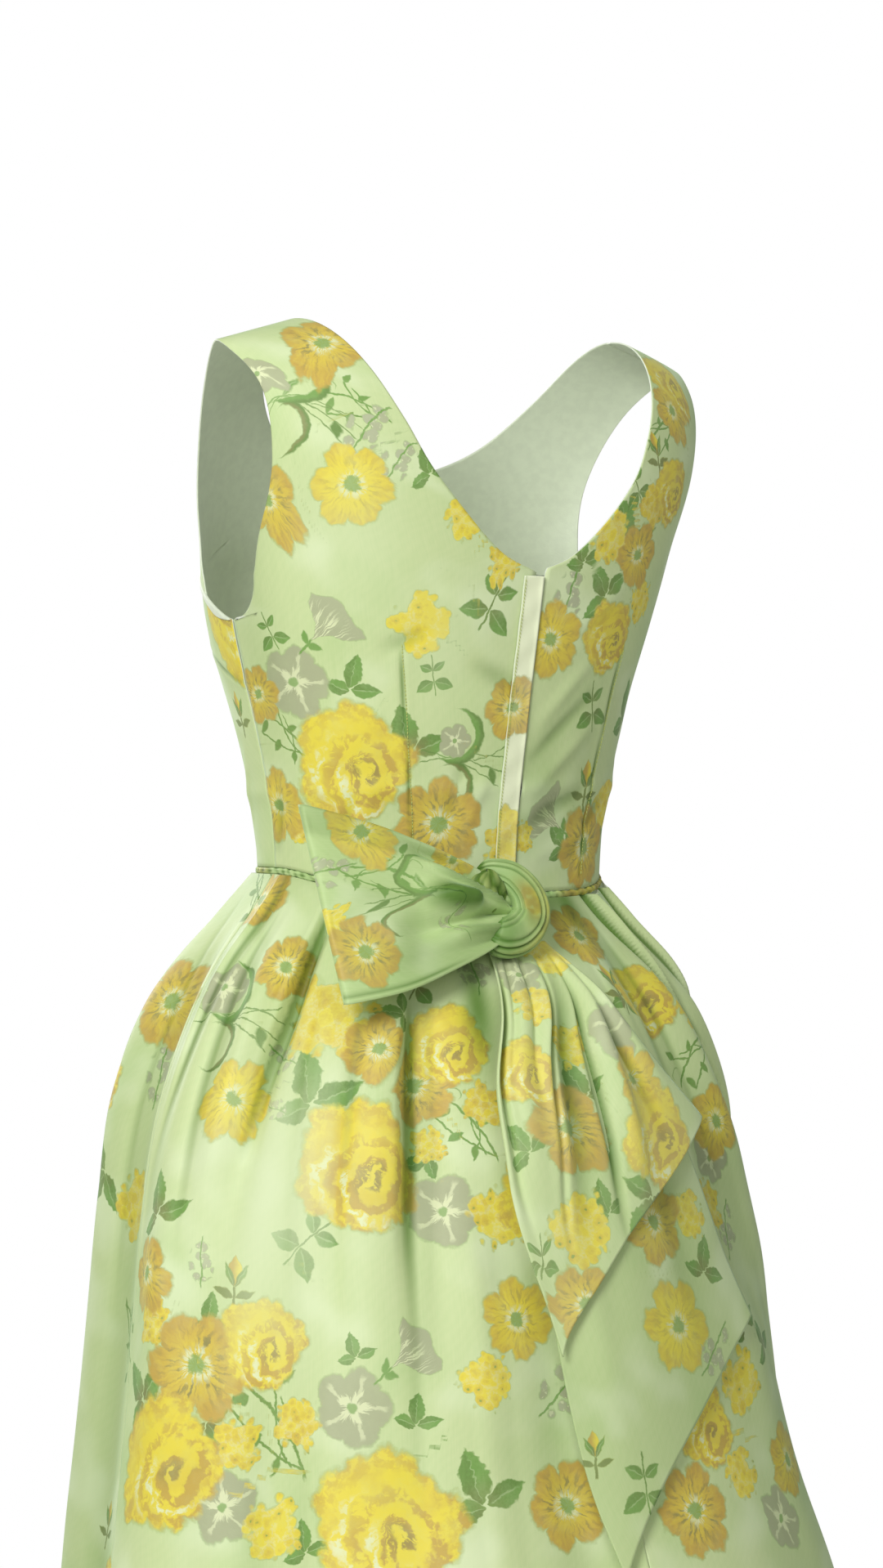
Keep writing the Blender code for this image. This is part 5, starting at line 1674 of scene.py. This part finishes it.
def tube_faces(rows, sides, start=0):
    """Faces of rings joined in turn: quads along them, and one closing face at each end."""
    numbers = start + np.arange(rows * sides).reshape(rows, sides)
    beside = np.roll(numbers, -1, axis=1)
    quads = np.stack([numbers[:-1], beside[:-1], beside[1:], numbers[1:]], axis=-1).reshape(-1, 4)
    return quads, np.stack([numbers[0][::-1], numbers[-1]])


class DRESS_OT_bow_knot(bpy.types.Operator):
    """Make the folded band round the middle of the bow, and the crumpled cloth inside it"""

    bl_idname = "dress.bow_knot"
    bl_label = "Bow Knot"

    def execute(self, context):
        rows, sides = KNOT_GRID
        band, band_scale = knot_band(rows, sides)
        inside, inside_scale = crumple(*CRUMPLE_GRID)
        band_quads, band_ends = tube_faces(rows, sides)
        inside_quads, inside_ends = tube_faces(*CRUMPLE_GRID, rows * sides)
        points = np.concatenate([band.reshape(-1, 3), inside.reshape(-1, 3)])
        share = np.linspace(0, 1, rows)[:, None]
        degrees = np.linspace(0, 360, sides, endpoint=False)[None, :]
        # Painted shade in the band's grooves, over the whole band and more towards its end, and deep in the
        # crumple's pleats
        band_recess = (1 - band_scale) * 3.6 + 0.32 + 0.40 * smooth_step((share - 0.66) / 0.22)
        recess = np.concatenate([band_recess.ravel(), (1.34 - inside_scale).ravel() * 3.6])
        stain = np.minimum(1.5 * bump(share - 0.49, 0.13) * bump(degrees - 84, 20), 0.85)
        stain = stain + 0.62 * bump(share - 0.58, 0.24) * bump(degrees - 134, 20)
        knot = closed_piece(
            "bow_knot_cloth", points, [band_quads, inside_quads, band_ends, inside_ends],
            mottled_cloth("Knotted sash", 0.44), "sash_organza", ["bow_knot"],
            flat=np.stack([points[:, 0] + points[:, 1] * 0.3, points[:, 2]], axis=-1),
            recess=np.clip(recess, 0, 1.25),
            stain=np.concatenate([stain.ravel(), np.full(inside_scale.size, 0.30)]))
        return {"FINISHED"}


def tail_points(table_rows, folds, rows, columns, shade):
    """Points, normals and painted shading of a sash end: the skirt's surface, moved out, with folds down it.
    """
    along = np.linspace(0, 1, rows)
    left_azimuth, left_drop, right_azimuth, right_drop, lift = smooth_rows(table_rows, along).T
    across = np.linspace(0, 1, columns)[None, :]
    azimuth = across_from(left_azimuth, right_azimuth, across)
    azimuth = azimuth - 4 * TAIL_BEND * across * (1 - across) * along[:, None]
    drop = across_from(left_drop, right_drop, across)
    normals = skirt_normals(azimuth, drop)
    rise = np.zeros_like(azimuth)
    for fold in folds:
        deep = smooth_step(along / (0.8 * fold.fullest)) * (1 - smooth_step((along - fold.fullest) / 0.55))
        centre = fold.across + (fold.across_end - fold.across) * along[:, None]
        rise = rise + fold.rise * bump(across - centre, fold.spread) * deep[:, None]
    out = lift[:, None, None] + SASH_WALL + rise[..., None] * settings().fold_depth
    points = skirt_surface(azimuth, drop) + normals * out
    found = unit(np.cross(np.gradient(points, axis=0), np.gradient(points, axis=1)))
    facing = np.sum(found * normals, axis=-1, keepdims=True)
    # Painted shade in the folds' valleys, added to the given painted shade or highlight
    return points, np.where(facing < 0, -found, found), shade + np.clip(-rise / 0.0042, 0, 1.25)


class DRESS_OT_bow_tails(bpy.types.Operator):
    """Make the two slant-cut ends of the sash, which lie on the skirt"""

    bl_idname = "dress.bow_tails"
    bl_label = "Bow Tails"

    def execute(self, context):
        # The long end gets a constant painted shade and the short one a painted highlight, on top of the
        # painted shade in their folds
        for node, rows, folds, shade, flat, area in (
            ("bow_tail_long", LONG_TAIL, LONG_TAIL_FOLDS, 0.22, (0.17, 0.44), 0.045),
            ("bow_tail_short", SHORT_TAIL, SHORT_TAIL_FOLDS, -0.10, (0.17, 0.31), 0.032),
        ):
            points, normals, recess = tail_points(rows, folds, *TAIL_GRID, shade)
            tail = cloth_shell(
                node, points, normals, sash_cloth(), recess, wall=SASH_WALL)
        return {"FINISHED"}


class DRESS_OT_piping(bpy.types.Operator):
    """Make the puckered corded seam round the waist"""

    bl_idname = "dress.piping"
    bl_label = "Waist Piping"

    def execute(self, context):
        count, sides = PIPING_GRID
        azimuth = np.linspace(0, 360, count, endpoint=False)
        normals = skirt_normals(azimuth, np.zeros_like(azimuth))
        normals[:, 2] = 0
        normals = unit(normals)
        middle = skirt_surface(azimuth, np.zeros_like(azimuth)) - normals * CLOTH_WALL / 2
        turned, turn = np.meshgrid(azimuth, np.linspace(0, 2 * math.pi, sides, endpoint=False), indexing="ij")
        around = np.radians(turned)
        pucker = 0.07 * np.sin(around * 83 + 2.6 * np.sin(around * 11) + turn)
        pucker = pucker + 0.05 * np.sin(around * 47 + 1.9 * np.sin(around * 5) - 2 * turn)
        groove = 0.22 * bump(np.sin(turn) - 0.1, 0.28) * (np.cos(turn) > 0)
        groove = groove * smooth_step((70 - np.abs(turned - 95)) / 20)
        radius = PIPING_RADIUS * (1.0 + pucker - groove)
        offset = normals[:, None] * np.cos(turn)[..., None]
        offset = offset + np.array([0, 0, 1.0]) * np.sin(turn)[..., None]
        rings = middle[:, None] + offset * radius[..., None]
        numbers = np.arange(count * sides).reshape(count, sides)
        after, beside = np.roll(numbers, -1, axis=0), np.roll(numbers, -1, axis=1)
        faces = np.stack([numbers, beside, np.roll(after, -1, axis=1), after], axis=-1).reshape(-1, 4)
        # Painted shade at the cord's top and bottom, where it meets the cloth
        edges = 0.8 * bump(1 - np.abs(np.sin(turn)), 0.12)
        printed = 0.9 * smooth_step((turned - 195) / 10) * (1 - smooth_step((turned - 250) / 10))
        others = 0.6 * smooth_step(np.sin(around * 5 + 1.0) * 2 - 1) * (np.abs(turned - 150) > 50)
        # The cord's painted shading: painted shade in its puckers and groove and at its top and bottom
        closed_piece(
            "waist_piping_cloth", rings.reshape(-1, 3), faces, mottled_cloth("Corded piping", 0.45),
            "corded_piping", ["waist_piping"],
            flat=np.stack([around * 0.12, turn * PIPING_RADIUS], axis=-1).reshape(-1, 2),
            recess=np.clip(-pucker * 6 + groove * 3 + edges, 0, 1.25), stain=np.maximum(printed, others))
        return {"FINISHED"}


def back_line(reach, low, high, count, lift):
    """Points and outward normals up the back, at a distance from the centre line, lifted off the cloth."""
    level = level_of(np.linspace(low, high, count))
    points, normals = bodice_skin(angle_at(np.full(count, reach), level), level, True)
    return points + normals * lift, normals


def spindles(starts, ends, normals, radius):
    """Small closed six-sided spindles, which bow up off the cloth between their two ends.

    Five rings stand along each: the radius is small at both ends, and the middle is lifted by
    four times t times 1 minus t, as the share t runs from 0 to 1.
    """
    share = np.array([0.0, 0.14, 0.5, 0.86, 1.0])
    swell = np.array([0.35, 0.85, 1.0, 0.85, 0.35]) * radius
    run = ends - starts
    aside = unit(np.cross(run, normals))
    middle = starts[:, None] + run[:, None] * share[None, :, None]
    middle = middle + normals[:, None] * (radius * 0.9 * 4 * share * (1 - share))[None, :, None]
    turn = np.linspace(0, 2 * math.pi, 6, endpoint=False)[None, :, None]
    offset = aside[:, None] * np.cos(turn) + normals[:, None] * np.sin(turn)
    rings = middle[:, :, None] + offset[:, None] * swell[None, :, None, None]
    first = np.arange(len(starts))[:, None, None] * 30
    return rings.reshape(-1, 3), [
        (first + faces).reshape(-1, faces.shape[1]) for faces in tube_faces(5, 6)]


def sew(name, rows, radius, slant):
    """One piece of separate stitches along rows of points, each stitch ending before the next begins."""
    starts, ends, normals = [], [], []
    for points, ups in rows:
        run = points[1:] - points[:-1]
        across = unit(np.cross(run, ups[:-1])) * slant
        starts.append(points[:-1] + across)
        ends.append(points[:-1] + run * 0.80 - across)
        normals.append(ups[:-1])
    points, faces = spindles(np.concatenate(starts), np.concatenate(ends), np.concatenate(normals), radius)
    closed_piece(name, points, faces, thread(), "printed_organza")


class DRESS_OT_closure(bpy.types.Operator):
    """Make the lap over the zip, and the closed chain of the zip beside its fold"""

    bl_idname = "dress.closure"
    bl_label = "Back Closure"

    def execute(self, context):
        waist = waist_height(180) + PIPING_RADIUS + SEAM_GAP
        rows, columns = LAP_GRID
        height, share = np.meshgrid(
            np.linspace(waist, BACK_NECK_HEIGHT - 0.002, rows), np.linspace(0, 1, columns), indexing="ij")
        level = level_of(height)
        angle = angle_at(LAP_INNER + (LAP_OUTER - LAP_INNER) * share, level)
        points, normals = bodice_skin(angle, level, True)
        puff = 0.0005 * np.sin(height * 260) * share * (1 - share) * 4 + 0.0006 * bump(share, 0.12)
        points = points + normals * (LAYER_GAP + LAP_WALL + puff)[..., None]
        cloth = [printed_cloth("Lap organza", 0.3, -0.25, 0.90, 0.90), lining()]
        # Painted shade in a narrow line along the lap's stitching, near its outer edge
        lap = cloth_shell("zip_lap", points, normals, cloth,
                          0.5 * bump(share - 0.93, 0.05), wall=LAP_WALL)
        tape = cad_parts["zip_tape"]
        tape.data.materials.clear()
        # The zip tape is dyed nearly black, darker than the dress: partly the tape's own colour and partly
        # painted shadow in the gap under the lap's edge
        tape.data.materials.append(plain_cloth("Zip tape", (0.045, 0.065, 0.025), 0.5, 900.0))
        low, high = waist + 0.004, BACK_NECK_HEIGHT - 0.008
        count = int((high - low) / ZIP_PITCH)
        (left, ups), (right, _) = (
            back_line(reach, low + up, high + up, count, -CLOTH_WALL - 0.0001)
            for reach, up in zip(ZIP_ROWS, (0, ZIP_PITCH / 2)))
        aside = np.array([0.0016, 0.0, 0.0])
        starts = np.concatenate([left, right]) + aside / 2
        points, faces = spindles(starts, starts - aside, np.concatenate([ups, ups]), ZIP_PITCH * 0.28)
        closed_piece("zip_chain", points, faces, plain_cloth("Zip chain", (0.10, 0.13, 0.05), 0.35, 900.0),
                     "zip_tape")
        return {"FINISHED"}


def surface_line(points, normals, line, count, lift):
    """Points and normals along a straight line drawn on a bodice panel, read at its nearest grid points."""
    azimuth = azimuth_of(points)
    found = []
    for share in np.linspace(0, 1, count):
        turn = line.azimuth + (line.azimuth_tip - line.azimuth) * share
        height = line.height + (line.height_tip - line.height) * share
        away = np.hypot(turned_from(azimuth, turn) * 0.0022, points[..., 2] - height)
        weight = bump(away, 0.0016)
        weight = weight / weight.sum()
        found.append((np.tensordot(weight, points, 2), unit(np.tensordot(weight, normals, 2))))
    places, ups = (np.array(rows) for rows in zip(*found))
    return places + ups * lift, ups


class DRESS_OT_sewing(bpy.types.Operator):
    """Make the stitches of the lap, the back darts and the skirt's hem"""

    bl_idname = "dress.sewing"
    bl_label = "Sewing"

    def execute(self, context):
        length = settings().stitch_length
        low, high = waist_height(180) + PIPING_RADIUS + 0.002, BACK_NECK_HEIGHT - 0.004
        lift = LAYER_GAP + LAP_WALL + 0.0001
        lap = back_line(LAP_OUTER - 0.0013, low, high, int((high - low) / length), lift)
        sew("lap_stitches", [lap], 0.00026, 0.00050)
        rows = []
        for side, dart in ((1, DARTS[0]), (-1, DARTS[1])):
            points, normals, _ = back_panel(side)
            beside = dart._replace(azimuth=dart.azimuth + 0.7, azimuth_tip=dart.azimuth_tip + 0.7)
            count = int(abs(dart.height_tip - dart.height) / length)
            rows.append(surface_line(points, normals, beside, count, 0.0001))
        sew("dart_stitches", rows, 0.00034, 0.0)
        fine = settings().fold_depth
        azimuth = np.arange(0, 360, HEM_STITCH_PITCH)
        drop = SKIRT_LENGTH - HEM_DEPTH
        ends = skirt_surface(azimuth + 0.35, drop + 0.0006, fine)
        points, faces = spindles(
            skirt_surface(azimuth, drop, fine), ends, skirt_normals(azimuth, drop, fine), 0.00022)
        closed_piece("hem_stitches", points, faces, thread(), "printed_organza")
        return {"FINISHED"}


def white_surround(tree):
    """White behind the dress, and a dimmer white as the light that it gives."""
    seen = tree.nodes["Background"]
    set_inputs(seen, {"Color": (1.0, 1.0, 1.0), "Strength": 1.0})
    given = node_of(tree, "Background", {"Color": (0.96, 1.0, 0.94), "Strength": 0.31})
    path = node_of(tree, "LightPath")
    shaders = {0: Ink(path.outputs["Is Camera Ray"]), 1: Ink(given.outputs[0]), 2: Ink(seen.outputs[0])}
    chosen = node_of(tree, "MixShader", shaders)
    set_inputs(tree.nodes["World Output"], {"Surface": Ink(chosen.outputs[0])})


class DRESS_OT_studio(bpy.types.Operator):
    """Make the floor, the soft lights, the white surround and the camera"""

    bl_idname = "dress.studio"
    bl_label = "Studio"

    def execute(self, context):
        around = np.linspace(0, 2 * math.pi, 96, endpoint=False)
        rim = np.stack([
            FLOOR_RADIUS * np.cos(around), FLOOR_RADIUS * np.sin(around), np.full(96, FLOOR_HEIGHT)], axis=-1)
        mesh = bpy.data.meshes.new("floor")
        mesh.from_pydata(rim.tolist(), [], [list(range(96))])
        mesh.materials.append(plain_cloth("Floor", (0.86, 0.86, 0.84), 0.8, 40.0))
        placed_object("floor", mesh)
        for name, (place, size, power) in LIGHTS.items():
            light = bpy.data.lights.new(name, "AREA")
            light.shape = "DISK"
            light.size = size
            light.energy = power
            lamp = placed_object(name, light)
            lamp.location = place
            x, y, z = np.array(LIGHT_AIM) - place
            lamp.rotation_euler = (math.atan2(math.hypot(x, y), -z), 0, math.atan2(-x, y))
        world = bpy.data.worlds.new("Surround")
        context.scene.world = world
        world.use_nodes = True
        white_surround(world.node_tree)
        lens = bpy.data.cameras.new("camera")
        lens.lens = LENS
        lens.sensor_width = 36.0
        camera = placed_object("camera", lens)
        azimuth = settings().camera_azimuth
        away = np.array([math.sin(azimuth), -math.cos(azimuth), 0.0])
        right = np.array([math.cos(azimuth), math.sin(azimuth), 0.0])
        middle = np.array([0, BODY_MIDDLE[1], CAMERA_HEIGHT])
        camera.location = middle + away * settings().camera_distance + right * CAMERA_ASIDE
        camera.rotation_euler = (math.pi / 2, 0, azimuth)
        context.scene.camera = camera
        context.scene.view_settings.view_transform = "Standard"
        return {"FINISHED"}


class DRESS_PT_sidebar(bpy.types.Panel):
    """Lists the dress's pieces, sizes and colours"""

    bl_label = "Party Dress"
    bl_idname = "DRESS_PT_sidebar"
    bl_space_type = "VIEW_3D"
    bl_region_type = "UI"
    bl_category = "Party Dress"

    def draw(self, context):
        for name in DressSettings.__annotations__:
            self.layout.prop(context.scene.party_dress, name)
        for name in DressColours.__annotations__:
            self.layout.prop(context.scene.party_dress_colours, name)
        for operator in OPERATORS:
            self.layout.operator(operator.bl_idname)


OPERATORS = (
    DRESS_OT_bodice_front, DRESS_OT_bodice_backs, DRESS_OT_closure, DRESS_OT_piping, DRESS_OT_skirt,
    DRESS_OT_sewing, DRESS_OT_bow_loop, DRESS_OT_bow_knot, DRESS_OT_bow_tails, DRESS_OT_studio,
)
CLASSES = (DressSettings, DressColours, *OPERATORS, DRESS_PT_sidebar)


def register():
    """Adds the classes and the scene's settings."""
    for item in CLASSES:
        bpy.utils.register_class(item)
    bpy.types.Scene.party_dress = PointerProperty(type=DressSettings)
    bpy.types.Scene.party_dress_colours = PointerProperty(type=DressColours)


def unregister():
    """Takes the classes and the settings away again."""
    del bpy.types.Scene.party_dress_colours
    del bpy.types.Scene.party_dress
    for item in reversed(CLASSES):
        bpy.utils.unregister_class(item)


def main():
    """Registers the add-on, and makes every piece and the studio."""
    register()
    for operator in OPERATORS:
        group, name = operator.bl_idname.split(".")
        getattr(getattr(bpy.ops, group), name)()


if __name__ == "__main__":
    main()
